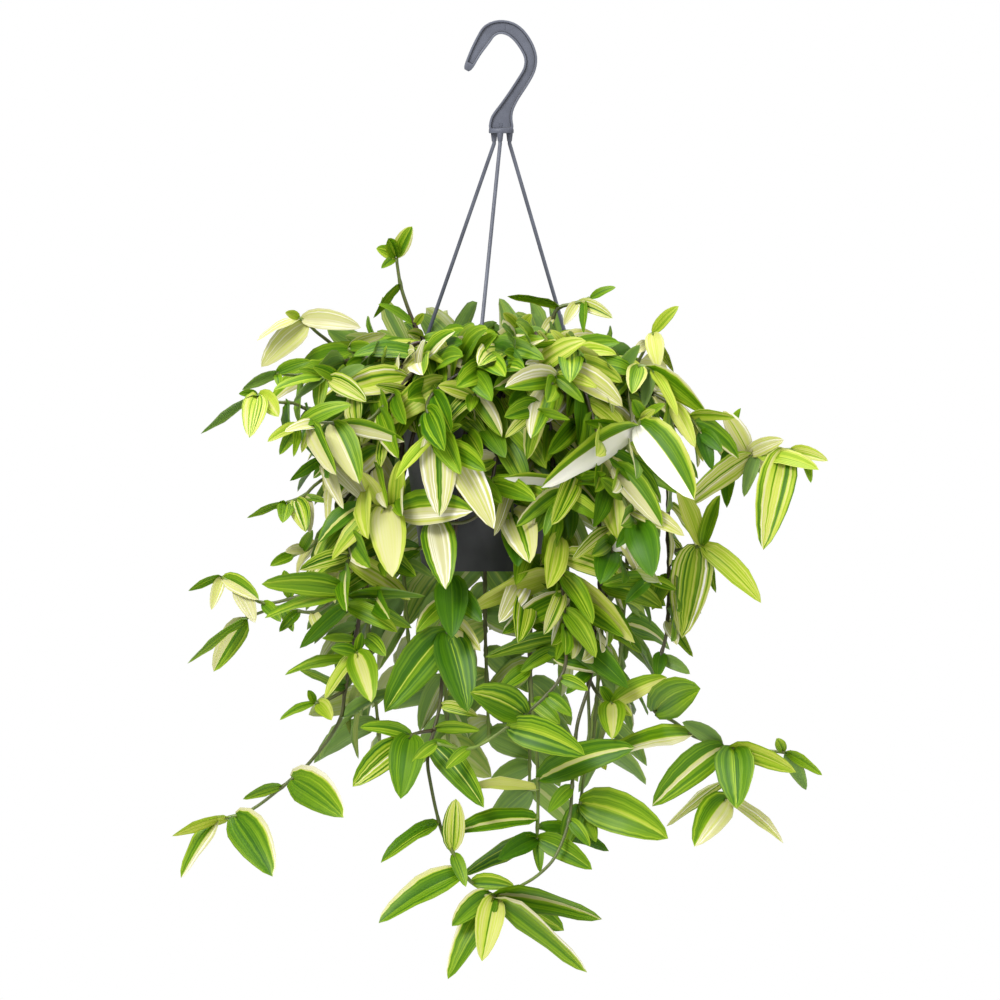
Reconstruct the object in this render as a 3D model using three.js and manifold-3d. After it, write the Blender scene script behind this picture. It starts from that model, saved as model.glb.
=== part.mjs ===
// A hanging pot of trailing, cream-striped tradescantia.
//
// Lengths are millimetres, +Z is up, +X is to the right and -Y faces the viewer. The origin is the seat
// of the hook: the underside of its crown, where the rail that carries the pot lies.
//
// The pieces are a moulded hook with a base plate, three rods that clip from the plate to the pot, the
// pot, its soil, and the leafy stems. Each stem stands in its own hole in the soil, rises over the rim
// and hangs down. A stem and its leaves grew as one piece, so they are fused into one solid.

import * as THREE from "three";
import { mergeVertices } from "three/addons/utils/BufferGeometryUtils.js";
import Module from "manifold-3d";

// ---------------------------------------------------------------- driving dimensions
const MM_PER_PIXEL = 0.8; // scale of the front view that the stems are laid out on
const SEAT_PIXEL = { x: 500, y: 34 }; // the hook's seat in that view

const POT_X = -9; // the pot hangs a little to the left of the hook
const RIM_Z = -276;
const POT_HEIGHT = 154;
const RIM_RADIUS = 75;
const BASE_RADIUS = 53;
const WALL = 1.6;
const LIP_HEIGHT = 9;
const LIP_OUT = 2.4;
const LIP_CHAMFER = 0.8;
const FOOT_HEIGHT = 4;
const FOOT_WIDTH = 6;
const DRAIN_RADIUS = 4;
const DRAIN_CIRCLE = 34;
const DRAINS = 6;
const SOIL_BELOW_RIM = 14;
const SOIL_MOUND = [[0.6, 3], [0, 4]]; // the soil rises inwards: shares of its radius, and heights
const SOIL_SIDE_GAP = 0.3; // keeps the soil's flats inside the pot's, beside FIT_GAP
const FIT_GAP = 0.35; // clearance between pieces that touch
const CUT_PAST = 1; // a cut starts this far outside what it cuts

const HOOK_THICKNESS = 7;
const HOOK_RIB = 1.9; // width of the raised rib round the hook's edge
const HOOK_RECESS = 2.4; // depth of the web below the rib, on each face
const HOOK_WEB_HALF = 0.8; // half the least width of the web
const HOOK_SLOPE = 0.4; // how far the rib's inner side slopes in towards the web
const HOOK_DIP = 0.02; // the web's depth where there is no recess
const PLATE_TOP = -75.4;
const PLATE_THICKNESS = 3.4;
const PLATE_X = 1; // the middle of the plate
const PLATE_RADIUS = 10;
const ROD_CIRCLE = 7.2; // the rods' circle under the plate
const ROD_RADIUS = 1.6;
const ROD_ANGLES = [-97.4, 22.6, 142.6]; // degrees about the pot's axis, the first towards the viewer
const SOCKET_HEIGHT = 6.6; // the sockets taper below the plate
const SOCKET_RADII = [2.8, 2.5];
const SOCKET_IN_PLATE = 1;
const ROD_IN_SOCKET = 5;
const ROD_BEND = 1.6; // a rod bends outwards this far below its socket
const LUG_CIRCLE = 79.5;
const LUG_LENGTH = 13;
const LUG_WIDTH = 9;
const LUG_HEIGHT = 5;
const LUG_TRIM = [9, -30]; // the lugs are cut off inside the wall between these heights about the rim
const LUG_HOLE_GAP = 0.5; // round the rod
const LUG_HOLE_PAST = 2; // the hole's cut goes this much farther each way than the lug is high
const HEAD_RADIUS = 3;
const HEAD_LENGTH = 4;
const HEAD_DROP = 2; // from the lug to the head, along the slanting rod
const HEAD_START = 0.4; // the head starts this far up the rod

const STEM_RADIUS = 2.0;
const STEM_STEP = 38; // longest straight run of a stem
const BRANCH_OUT = 10; // how far a branch comes forward of its stem
const ROOT_DEPTH = 14; // how deep a stem stands in the soil
const ROOT_RISE = 7; // how far it stands up straight out of it
const ROOT_HOLE_GAP = 1.4;
const ROOT_RINGS = [58, 34, 46, 25]; // the circles that the stems are rooted on
const EVEN_SHARE = 0.3; // how far the roots are spread evenly round the pot
const CROWN_TIERS = 3; // stems cross the rim at several heights
const CROWN_TIER = 9;
const CROSS_INSIDE = 10; // a stem crosses over the rim from this far inside it
const HANG_OUTSIDE = 14; // and comes down this far outside it
const HANG_BELOW = 8; // this much lower
const NEAR_RIM = [-8, 6]; // a stem seen first nearer the axis than this doesn't cross, or doesn't come down
const SWINGS = [0, 4, -4, 8, -8, 12, -12, 16, -16]; // degrees
const DETOURS = [0, 8, 16].flatMap((lift) => SWINGS.map((swing) => [swing, lift]));
const BLADE_ASPECT = 0.45; // a leaf's width over its length
const BLADE_KEEL = 1.6; // how deep the midrib stands below a blade's flat top
const NECK = 0.8; // half the width of a blade where it starts, inside its stem
const SLANT = 1.04; // how much longer a leaf is than it looks, at least
const SLIMMEST = 0.75; // a leaf that looks slimmer than this share of its width is rolled
const BEND_AT = 0.45; // where a leaf's bend is, from its stem to its tip
const BLADE_LIFT = 0.1; // how far a leaf bulges out and up, as shares of its length
const BLADE_ARCH = 0.12;
const BLADE_ROWS = [0, 0.3, 0.68]; // where a blade has a section, before its tip
const SMALL_ROWS = [0, 0.42]; // the same for a small leaf
const SMALL_WIDTH = 11.5;
const OUTER_FROM = 0.22; // a blade is kept off its own stem from here
const CLEARANCE = 0.3; // kept between one stem's leaves and another's
const TURNS = [0, -1, 1, -2, 2, -3, 3, -4, 4, -5, 5, -6, 6, -7, 7, -8, 8]; // tries at bending a leaf clear
const TURN_STEP = 5;

const SIDES = { // how many flats stand for each round form
  plate: 24,
  socket: 12,
  bore: 8,
  rod: 10,
  head: 12,
  pot: 36,
  drain: 8,
  lugHole: 12,
  soil: 28,
  rootHole: 4,
  stem: 3,
};

const POT_GREY = 0x2c2d31;
const HANGER_GREY = 0x4d525e;
const SOIL_BROWN = 0x2b1d14;
const LEAF_GREEN = 0x6c9c2c;

const DEGREE = Math.PI / 180;
const UP = new THREE.Vector3(0, 0, 1);
const vec = (x, y, z) => new THREE.Vector3(x, y, z);

// ---------------------------------------------------------------- joining and cutting
const wasm = await Module();
wasm.setup();

function solid(geometry) {
  const bare = new THREE.BufferGeometry();
  bare.setAttribute("position", geometry.getAttribute("position"));
  bare.setIndex(geometry.getIndex());
  const merged = mergeVertices(bare, 1e-4);
  const positions = merged.getAttribute("position");
  const corners = merged.getIndex().array;
  const [a, b, c] = [vec(0, 0, 0), vec(0, 0, 0), vec(0, 0, 0)];
  let volume = 0;
  for (let i = 0; i < corners.length; i += 3) {
    [a, b, c].forEach((corner, k) => corner.fromBufferAttribute(positions, corners[i + k]));
    volume += a.dot(b.cross(c));
  }
  return new wasm.Manifold(
    new wasm.Mesh({
      numProp: 3,
      vertProperties: new Float32Array(positions.array),
      triVerts: new Uint32Array(volume < 0 ? corners.toReversed() : corners),
    }),
  );
}

function geometryOf(made) {
  const mesh = made.getMesh();
  const geometry = new THREE.BufferGeometry();
  geometry.setAttribute("position", new THREE.BufferAttribute(mesh.vertProperties, 3));
  geometry.setIndex(new THREE.BufferAttribute(mesh.triVerts, 1));
  geometry.computeVertexNormals();
  return geometry;
}

// A closed mesh through rings of points that each go round the same way. A ring of one point is a tip.
// Neighbouring faces are split along opposite diagonals, so that a thin blade's two sides are split alike.
function loft(rings) {
  const points = rings.flat();
  const starts = rings.map((_, i) => rings.slice(0, i).flat().length);
  const sides = Math.max(...rings.map((ring) => ring.length));
  const faces = [];
  for (let i = 0; i + 1 < rings.length; i++) {
    const low = (j) => starts[i] + (rings[i].length === 1 ? 0 : j % sides);
    const high = (j) => starts[i + 1] + (rings[i + 1].length === 1 ? 0 : j % sides);
    for (let j = 0; j < sides; j++) {
      const [a, b, c, d] = [low(j), low(j + 1), high(j + 1), high(j)];
      const split = j % 2 === 0 ? [[a, b, c], [a, c, d]] : [[a, b, d], [b, c, d]];
      faces.push(...split.filter(([p, q, r]) => p !== q && q !== r && r !== p));
    }
  }
  for (let j = 1; j + 1 < rings[0].length; j++) {
    faces.push([0, j + 1, j]);
  }
  const last = starts[rings.length - 1];
  for (let j = 1; j + 1 < rings[rings.length - 1].length; j++) {
    faces.push([last, last + j, last + j + 1]);
  }
  return { points, faces };
}

function loftGeometry({ points, faces }) {
  const geometry = new THREE.BufferGeometry().setFromPoints(points);
  geometry.setIndex(faces.flat());
  return geometry;
}

function tube(points, radius, sides) {
  const rings = points.map((point, i) => {
    const ahead = points[Math.min(i + 1, points.length - 1)].clone().sub(points[Math.max(i - 1, 0)]);
    const across = vec(0.31, -0.95, 0.02).cross(ahead).normalize();
    const over = across.clone().cross(ahead.normalize());
    return Array.from({ length: sides }, (_, j) => {
      const turn = (-2 * Math.PI * j) / sides;
      return point
        .clone()
        .addScaledVector(across, radius * Math.cos(turn))
        .addScaledVector(over, radius * Math.sin(turn));
    });
  });
  return solid(loftGeometry(loft(rings)));
}

function rod(from, to, radius, sides) {
  const geometry = new THREE.CylinderGeometry(radius, radius, from.distanceTo(to), sides);
  geometry.applyQuaternion(
    new THREE.Quaternion().setFromUnitVectors(vec(0, 1, 0), to.clone().sub(from).normalize()),
  );
  const middle = from.clone().lerp(to, 0.5);
  return solid(geometry.translate(middle.x, middle.y, middle.z));
}

function lathe(profile, segments) {
  const geometry = new THREE.LatheGeometry(profile.map(([r, z]) => new THREE.Vector2(r, z)), segments);
  return solid(geometry.rotateX(Math.PI / 2).translate(POT_X, 0, 0));
}

const aroundPot = (degrees, radius, z) =>
  vec(POT_X + radius * Math.cos(degrees * DEGREE), radius * Math.sin(degrees * DEGREE), z);

// ---------------------------------------------------------------- the hanger
// The hook is a strip with a raised rib along both edges. Each row gives the middle of the strip and half
// its width, from the round tip, over the crown and down the shank to the plate.
const HOOK_ROWS = [
  [-26.9, -28.4, 1.9],
  [-25.9, -26.6, 3.2],
  [-24.6, -24.2, 3.8],
  [-19.4, -13.6, 4.8],
  [-12.9, -3.0, 5.9],
  [-8.6, 3.0, 6.1],
  [-2.9, 5.9, 5.7],
  [2.4, 6.3, 5.65],
  [8.6, 4.6, 5.9],
  [14.6, 0.2, 6.0],
  [20.4, -7.6, 5.8],
  [23.9, -15.2, 5.4],
  [24.7, -21.5, 5.15],
  [23.2, -28.6, 5.0],
  [18.4, -37.2, 5.1],
  [9.9, -50.3, 5.2],
  [4.8, -59.2, 6.3],
  [1.5, -67.6, 9.0],
  [0.9, -73.0, 9.9],
  [1.0, -76.4, 9.6],
];
const HOOK_WEB = [2, 18]; // the first and last row of the recess

function hookStrip() {
  const rings = HOOK_ROWS.map(([x, z, half], i) => {
    const [px, pz] = HOOK_ROWS[Math.max(i - 1, 0)];
    const [nx, nz] = HOOK_ROWS[Math.min(i + 1, HOOK_ROWS.length - 1)];
    const along = i === HOOK_ROWS.length - 1 ? vec(0, 0, -1) : vec(nx - px, 0, nz - pz).normalize();
    const out = vec(-along.z, 0, along.x);
    const deep = HOOK_THICKNESS / 2;
    const web = i > HOOK_WEB[0] && i < HOOK_WEB[1] ? deep - HOOK_RECESS : deep - HOOK_DIP;
    const inner = Math.max(half - HOOK_RIB, HOOK_WEB_HALF);
    const section = [
      [half, -deep],
      [half, deep],
      [inner, deep],
      [inner - HOOK_SLOPE, web],
      [HOOK_SLOPE - inner, web],
      [-inner, deep],
      [-half, deep],
      [-half, -deep],
      [-inner, -deep],
      [HOOK_SLOPE - inner, -web],
      [inner - HOOK_SLOPE, -web],
      [inner, -deep],
    ];
    return section.map(([across, y]) => vec(x, y, z).addScaledVector(out, across));
  });
  return solid(loftGeometry(loft(rings)));
}

// The mouth of a rod's socket.
const rodTop = (angle) => {
  const turn = angle * DEGREE;
  const z = PLATE_TOP - PLATE_THICKNESS - SOCKET_HEIGHT;
  return vec(PLATE_X + ROD_CIRCLE * Math.cos(turn), ROD_CIRCLE * Math.sin(turn), z);
};

const lugMiddle = (angle) => aroundPot(angle, LUG_CIRCLE, RIM_Z - LIP_HEIGHT / 2);

function hook() {
  const [plateStart, plateEnd] = [PLATE_TOP, PLATE_TOP - PLATE_THICKNESS].map((z) => vec(PLATE_X, 0, z));
  let made = hookStrip().add(rod(plateStart, plateEnd, PLATE_RADIUS, SIDES.plate));
  for (const angle of ROD_ANGLES) {
    const mouth = rodTop(angle);
    const tall = SOCKET_HEIGHT + SOCKET_IN_PLATE;
    const socket = new THREE.CylinderGeometry(...SOCKET_RADII, tall, SIDES.socket).rotateX(Math.PI / 2);
    made = made.add(solid(socket.translate(mouth.x, mouth.y, mouth.z + tall / 2)));
    const below = mouth.clone().setZ(mouth.z - CUT_PAST);
    const deep = mouth.clone().setZ(mouth.z + ROD_IN_SOCKET + 2 * FIT_GAP);
    made = made.subtract(rod(below, deep, ROD_RADIUS + FIT_GAP, SIDES.bore));
  }
  return made;
}

// A rod starts inside its socket, bends outwards below it and runs straight through a hole in the pot's lug
// to a round head below the lug.
const rodBend = (angle) => {
  const mouth = rodTop(angle);
  return mouth.setZ(mouth.z - ROD_BEND);
};

const rodRun = (angle) => lugMiddle(angle).sub(rodBend(angle)).normalize();

function hangerRod(angle) {
  const bend = rodBend(angle);
  const top = bend.clone().setZ(bend.z + ROD_BEND + ROD_IN_SOCKET);
  const along = rodRun(angle);
  const neck = lugMiddle(angle).addScaledVector(along, LUG_HEIGHT / 2 + HEAD_DROP);
  const end = neck.clone().addScaledVector(along, HEAD_LENGTH);
  const start = neck.clone().addScaledVector(along, -HEAD_START);
  return tube([top, bend, end], ROD_RADIUS, SIDES.rod).add(rod(start, end, HEAD_RADIUS, SIDES.head));
}

// ---------------------------------------------------------------- pot and soil
const outerRadius = (z) => BASE_RADIUS + ((RIM_RADIUS - BASE_RADIUS) * (z - RIM_Z + POT_HEIGHT)) / POT_HEIGHT;

function pot() {
  const base = RIM_Z - POT_HEIGHT;
  const lipEnd = RIM_Z - LIP_HEIGHT;
  const floor = base + FOOT_HEIGHT + WALL;
  const profile = [
    [0, base + FOOT_HEIGHT],
    [BASE_RADIUS - FOOT_WIDTH, base + FOOT_HEIGHT],
    [BASE_RADIUS - FOOT_WIDTH, base],
    [BASE_RADIUS, base],
    [outerRadius(lipEnd), lipEnd],
    [outerRadius(lipEnd) + LIP_OUT, lipEnd],
    [RIM_RADIUS + LIP_OUT, RIM_Z - LIP_CHAMFER],
    [RIM_RADIUS + LIP_OUT - LIP_CHAMFER, RIM_Z],
    [RIM_RADIUS - WALL, RIM_Z],
    [outerRadius(floor) - WALL, floor],
    [0, floor],
  ];
  let made = lathe(profile, SIDES.pot);
  for (let k = 0; k < DRAINS; k++) {
    const top = aroundPot((360 * (k + 0.5)) / DRAINS, DRAIN_CIRCLE, floor + CUT_PAST);
    made = made.subtract(rod(top, top.clone().setZ(base), DRAIN_RADIUS, SIDES.drain));
  }
  const [trimTop, trimEnd] = LUG_TRIM.map((height) => vec(POT_X, 0, RIM_Z + height));
  const inside = rod(trimTop, trimEnd, RIM_RADIUS - WALL / 2, SIDES.pot);
  for (const angle of ROD_ANGLES) {
    const middle = lugMiddle(angle);
    const block = new THREE.BoxGeometry(LUG_LENGTH, LUG_WIDTH, LUG_HEIGHT);
    block.rotateZ(angle * DEGREE).translate(middle.x, middle.y, middle.z);
    const reach = LUG_HEIGHT + LUG_HOLE_PAST;
    const [over, under] = [-reach, reach].map((step) => middle.clone().addScaledVector(rodRun(angle), step));
    const hole = rod(over, under, ROD_RADIUS + LUG_HOLE_GAP, SIDES.lugHole);
    made = made.add(solid(block).subtract(inside)).subtract(hole);
  }
  return made;
}

function soil(stems) {
  const top = RIM_Z - SOIL_BELOW_RIM;
  const floor = RIM_Z - POT_HEIGHT + FOOT_HEIGHT + WALL + FIT_GAP;
  const side = (z) => outerRadius(z) - WALL - FIT_GAP - SOIL_SIDE_GAP;
  const profile = [
    [0, floor],
    [side(floor), floor],
    [side(top), top],
    ...SOIL_MOUND.map(([share, height]) => [side(top) * share, top + height]),
  ];
  let made = lathe(profile, SIDES.soil);
  for (const { root } of stems) {
    const [start, end] = [root.z - CUT_PAST, RIM_Z].map((z) => root.clone().setZ(z));
    made = made.subtract(rod(start, end, STEM_RADIUS + ROOT_HOLE_GAP, SIDES.rootHole));
  }
  return made;
}

// ---------------------------------------------------------------- the stems, as the front view shows them
// Each stem has its depth in front of the pot's axis where it comes into sight and at its tip, its route
// in pixels of the front view, and its leaves: where a leaf sits, where its tip is, and how wide it looks.
// A stem may branch, and its branches have leaves of their own.
const STEMS = [];
function stem(name, [near, far], route, leaves, branches = [], branchLeaves = []) {
  STEMS.push({ name, near, far, route, branches, leaves: [...leaves, ...branchLeaves] });
}

stem("a", [-20, -38], [[348, 352], [319, 334], [306, 322], [299, 318]], [
  [302, 317, 361, 328, 22], [300, 319, 257, 341, 8], [306, 325, 261, 367, 28], [299, 318, 285, 313, 10],
]);
stem("b", [-46, -60], [[330, 364], [300, 375], [276, 373]], [
  [280, 372, 242, 390, 12], [276, 374, 311, 361, 13], [277, 375, 280, 388, 9],
]);
stem("c", [-70, -84], [[340, 405], [308, 409], [293, 403], [277, 402], [258, 395]], [
  [248, 398, 201, 434, 10], [250, 399, 250, 438, 27], [262, 388, 279, 417, 22], [258, 394, 239, 394, 9],
]);
stem("d", [-90, -104], [[372, 390], [340, 380], [322, 378]], [
  [328, 381, 367, 402, 22], [320, 385, 318, 411, 16], [325, 378, 301, 383, 9], [324, 385, 294, 403, 9],
  [324, 366, 299, 370, 10], [300, 378, 274, 391, 10], [338, 375, 365, 366, 12], [339, 378, 313, 367, 14],
  [367, 401, 319, 406, 20],
]);
stem("e", [-112, -126], [[372, 418], [350, 425], [328, 423], [300, 425]], [
  [298, 422, 352, 405, 18], [300, 425, 268, 442, 12], [285, 432, 280, 455, 14], [324, 424, 285, 432, 12],
  [299, 435, 294, 457, 9], [317, 430, 302, 453, 10], [333, 424, 360, 484, 32], [342, 424, 405, 442, 18],
]);
stem("f", [-4, -4], [[424, 345], [415, 326], [405, 300], [400, 283], [396, 257]], [
  [398, 256, 412, 226, 18], [396, 256, 388, 238, 16], [395, 256, 376, 248, 14], [394, 257, 381, 268, 9],
  [400, 284, 373, 318, 9], [413, 325, 378, 304, 9], [415, 325, 424, 313, 9], [418, 340, 407, 333, 14],
  [424, 338, 459, 338, 10],
]);
stem("g", [-28, -44], [[424, 356], [400, 355], [368, 360], [348, 348]], [
  [345, 350, 372, 346, 12], [345, 344, 386, 334, 12], [366, 358, 346, 366, 12], [400, 355, 384, 376, 14],
]);
stem("h", [-30, -44], [[478, 384], [476, 372], [473, 360]], [
  [473, 360, 470, 328, 25], [450, 378, 455, 340, 22], [474, 372, 490, 388, 12], [474, 372, 448, 368, 14],
]);
stem("i", [-26, -46], [[520, 352], [518, 340], [518, 328]], [
  [515, 332, 487, 360, 25], [522, 322, 503, 313, 12], [538, 340, 505, 345, 12], [519, 332, 532, 314, 12],
]);
stem("j", [-96, -112], [[480, 384], [476, 390], [473, 396]], [
  [468, 395, 438, 386, 18], [472, 393, 440, 430, 15], [476, 395, 502, 437, 20], [474, 396, 470, 412, 14],
]);
stem("k", [-74, -96], [[442, 384], [432, 394], [415, 396]], [
  [438, 430, 408, 400, 30], [415, 398, 437, 365, 22], [408, 378, 375, 385, 12], [415, 396, 362, 403, 14],
  [432, 400, 488, 440, 28],
]);
stem("l", [-66, -80], [[580, 362], [570, 350]], [
  [570, 350, 507, 356, 18], [570, 352, 570, 383, 27], [568, 350, 550, 330, 10], [571, 352, 566, 333, 10],
]);
stem("m", [-88, -104], [[562, 366], [555, 377]], [
  [560, 377, 515, 384, 14], [556, 380, 584, 403, 14], [562, 378, 597, 388, 14], [528, 366, 505, 388, 28],
]);
stem("n", [-112, -126], [[552, 384], [545, 392], [536, 412]], [
  [524, 380, 514, 420, 14], [545, 390, 531, 439, 28], [590, 422, 527, 460, 22], [540, 425, 570, 420, 10],
  [530, 436, 505, 438, 14],
]);
stem("o", [-120, -132], [[428, 402], [438, 433], [452, 452]], [
  [437, 433, 440, 517, 40], [436, 434, 396, 480, 14], [445, 432, 462, 425, 10], [457, 448, 494, 529, 33],
]);
stem("p", [-108, -116], [[488, 500], [468, 521], [435, 521], [398, 512], [383, 507]], [
  [385, 507, 393, 577, 39], [380, 505, 332, 560, 20], [380, 503, 361, 472, 16], [398, 511, 473, 511, 38],
  [435, 523, 446, 589, 37], [395, 510, 400, 460, 18],
]);
stem("q", [-84, -86], [[462, 500], [428, 542], [401, 560]], [
  [398, 562, 433, 577, 12], [402, 560, 386, 570, 10], [428, 542, 452, 556, 14],
]);
stem("r", [-84, -98], [[374, 440], [350, 448], [332, 455], [322, 462]], [
  [332, 459, 324, 492, 10], [325, 468, 344, 509, 15], [325, 452, 290, 481, 12], [330, 462, 369, 504, 22],
  [362, 450, 400, 500, 28],
]);
stem("s", [-62, -76], [[368, 440], [335, 470], [314, 486], [304, 496], [287, 503]], [
  [285, 503, 247, 518, 8], [283, 504, 283, 523, 18], [296, 500, 306, 532, 22], [308, 500, 310, 533, 16],
  [303, 498, 328, 503, 8],
]);
stem("t", [-50, -40], [[372, 470], [345, 500], [336, 518], [312, 546], [292, 556]], [
  [305, 546, 285, 552, 12], [300, 550, 313, 530, 12], [294, 556, 270, 566, 12], [338, 516, 352, 512, 10],
]);
stem("u", [-104, -116], [[372, 470], [355, 535], [348, 562], [346, 592], [347, 606]], [
  [346, 590, 262, 584, 26], [343, 598, 265, 618, 14], [340, 606, 300, 648, 17], [350, 594, 426, 596, 12],
  [350, 605, 398, 632, 20], [350, 602, 412, 628, 20], [350, 555, 300, 570, 18], [352, 560, 411, 600, 24],
]);
stem("v", [-66, -30], [[352, 560], [330, 588], [300, 596], [263, 603], [240, 588], [222, 577]], [
  [222, 572, 188, 591, 9], [220, 578, 211, 610, 13], [224, 576, 259, 600, 20], [236, 587, 255, 623, 20],
  [262, 603, 281, 622, 14], [290, 598, 284, 570, 14],
]);
stem("w", [-52, -16], [[356, 560], [320, 610], [275, 607], [262, 612], [246, 618]], [
  [243, 618, 187, 664, 9], [246, 617, 213, 672, 26], [282, 608, 293, 632, 12], [312, 609, 321, 636, 14],
  [300, 609, 279, 632, 12],
]);
stem("x", [-84, -64], [
  [364, 560], [362, 600], [355, 640], [345, 690], [340, 720], [310, 762], [282, 787], [247, 812], [212, 821],
], [
  [356, 625, 325, 637, 12], [345, 685, 329, 689, 14], [341, 718, 400, 690, 13], [292, 778, 344, 817, 42],
  [282, 786, 243, 799, 12], [235, 813, 273, 876, 42], [228, 812, 172, 836, 12], [218, 820, 181, 878, 18],
  [355, 640, 322, 638, 10], [350, 660, 285, 675, 12], [345, 690, 297, 668, 10],
], [
  [[345, 690], [325, 701], [315, 703]],
], [
  [312, 702, 280, 720, 9], [318, 702, 332, 720, 18], [315, 703, 308, 690, 9],
]);
stem("y", [-100, -108], [[384, 560], [372, 600], [365, 640], [357, 653]], [
  [355, 652, 331, 648, 14], [357, 652, 362, 632, 10], [357, 655, 372, 702, 32], [354, 655, 325, 699, 14],
  [368, 637, 386, 656, 17],
]);
stem("z", [0, -8], [[546, 346], [552, 322], [558, 308], [575, 303], [590, 298]], [
  [560, 305, 507, 296, 9], [578, 303, 613, 318, 15], [590, 298, 616, 287, 9], [584, 301, 584, 333, 9],
  [578, 302, 564, 325, 13], [557, 318, 540, 336, 9],
]);
stem("aa", [-14, -30], [[600, 392], [625, 385], [637, 364], [647, 345], [653, 333]], [
  [652, 333, 679, 306, 13], [656, 334, 658, 369, 20], [648, 343, 634, 354, 12], [652, 336, 674, 372, 10],
  [648, 346, 702, 365, 9], [620, 386, 600, 372, 14],
]);
stem("ab", [-44, -60], [[600, 384], [618, 376], [640, 366], [652, 370]], [
  [606, 380, 572, 346, 24], [618, 376, 640, 345, 14], [640, 368, 632, 394, 22], [645, 369, 707, 415, 23],
  [652, 372, 677, 417, 12], [650, 372, 644, 408, 15], [633, 372, 585, 422, 25],
]);
stem("ac", [-92, -108], [[608, 472], [620, 455], [634, 432], [642, 418]], [
  [632, 434, 583, 422, 14], [636, 428, 597, 446, 14], [636, 426, 541, 488, 30], [642, 425, 694, 500, 45],
  [642, 418, 632, 400, 14], [642, 418, 665, 404, 10], [640, 420, 655, 410, 10],
]);
stem("ad", [-64, -84], [[648, 392], [672, 404], [690, 418], [700, 432]], [
  [682, 412, 703, 462, 14], [690, 414, 735, 418, 12], [672, 404, 695, 448, 18], [700, 432, 722, 452, 16],
  [700, 432, 712, 470, 16],
]);
stem("ae", [-112, -122], [[600, 440], [614, 465], [624, 500], [636, 524]], [
  [614, 465, 662, 527, 30], [636, 524, 652, 577, 36], [620, 500, 600, 478, 16], [636, 524, 616, 548, 14],
  [628, 508, 684, 536, 20],
]);
stem("af", [-110, -124], [[582, 462], [572, 476], [562, 490], [556, 506]], [
  [562, 490, 516, 527, 18], [557, 503, 544, 536, 12], [570, 486, 627, 487, 12], [568, 478, 606, 474, 10],
  [565, 484, 504, 478, 14],
]);
stem("ag", [-86, -96], [[518, 460], [513, 480], [512, 504], [514, 520]], [
  [512, 479, 494, 536, 14], [520, 512, 530, 563, 38], [500, 520, 518, 567, 30], [513, 500, 548, 506, 14],
  [512, 470, 480, 474, 12],
]);
stem("ah", [-100, -112], [[604, 462], [611, 487], [612, 520], [612, 552], [650, 580]], [
  [611, 487, 618, 539, 34], [612, 552, 600, 584, 30], [575, 548, 627, 534, 26], [652, 578, 602, 585, 18],
  [612, 528, 572, 560, 16], [650, 580, 625, 603, 14], [650, 578, 676, 590, 12],
]);
stem("ai", [-78, -88], [[566, 500], [563, 545], [562, 575], [568, 599], [566, 635], [552, 655]], [
  [562, 573, 468, 610, 25], [563, 575, 635, 643, 26], [564, 598, 502, 634, 26], [568, 600, 624, 637, 20],
  [563, 634, 485, 657, 18], [568, 638, 628, 688, 30], [565, 636, 556, 660, 12], [552, 655, 609, 672, 24],
  [556, 650, 520, 672, 16], [563, 540, 540, 566, 16], [563, 530, 580, 564, 14],
]);
stem("aj", [-98, -126], [
  [452, 560], [450, 600], [446, 640], [442, 680], [440, 705], [434, 730], [428, 755], [429, 774],
  [442, 831], [455, 855], [470, 880], [495, 896],
], [
  [449, 578, 452, 638, 36], [450, 590, 482, 622, 24], [446, 632, 385, 712, 43], [446, 631, 468, 712, 42],
  [431, 742, 484, 807, 30], [440, 822, 381, 862, 16], [453, 850, 456, 798, 24], [455, 852, 466, 886, 15],
  [472, 880, 515, 886, 18], [463, 872, 379, 922, 28], [490, 893, 452, 925, 25], [495, 900, 448, 978, 30],
  [495, 900, 482, 960, 30], [495, 897, 587, 971, 24], [495, 896, 564, 930, 32], [495, 886, 602, 918, 26],
  [440, 705, 478, 716, 14], [434, 728, 480, 730, 14], [450, 570, 430, 548, 14],
], [
  [[434, 730], [420, 732], [412, 735], [404, 742]],
], [
  [411, 733, 360, 727, 16], [412, 738, 401, 798, 38], [404, 744, 353, 786, 30],
]);
stem("ak", [-120, -134], [[566, 652], [560, 678], [530, 710], [507, 727], [470, 748], [437, 743]], [
  [524, 714, 470, 692, 38], [507, 727, 585, 755, 36], [437, 743, 412, 762, 14], [470, 748, 446, 768, 14],
  [545, 694, 572, 716, 16], [560, 678, 588, 690, 14],
]);
stem("al", [-84, -100], [[526, 600], [529, 650], [532, 700], [537, 758], [538, 800], [537, 838]], [
  [538, 779, 635, 747, 35], [535, 819, 447, 835, 22], [535, 837, 462, 875, 20], [540, 838, 592, 869, 25],
  [540, 828, 609, 851, 18], [537, 838, 540, 872, 12], [538, 838, 498, 859, 22], [536, 790, 460, 790, 12],
  [530, 668, 500, 690, 18], [531, 700, 560, 724, 18],
]);
stem("am", [-70, -128], [
  [600, 590], [596, 620], [590, 680], [577, 726], [572, 786], [569, 819], [555, 856], [537, 875], [517, 887],
], [
  [572, 786, 548, 812, 16], [575, 740, 550, 760, 14], [569, 819, 590, 846, 14], [590, 670, 566, 694, 14],
  [596, 620, 572, 640, 14],
]);
stem("an", [-56, -92], [[606, 600], [592, 640], [588, 677], [589, 734], [583, 782], [580, 805]], [
  [578, 802, 668, 838, 45], [580, 805, 562, 850, 22], [588, 740, 606, 770, 16], [580, 805, 596, 842, 18],
], [
  [[588, 677], [600, 697], [612, 703]],
], [
  [614, 702, 667, 677, 22], [614, 703, 612, 739, 29], [612, 703, 632, 716, 12], [612, 702, 600, 686, 12],
]);
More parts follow.
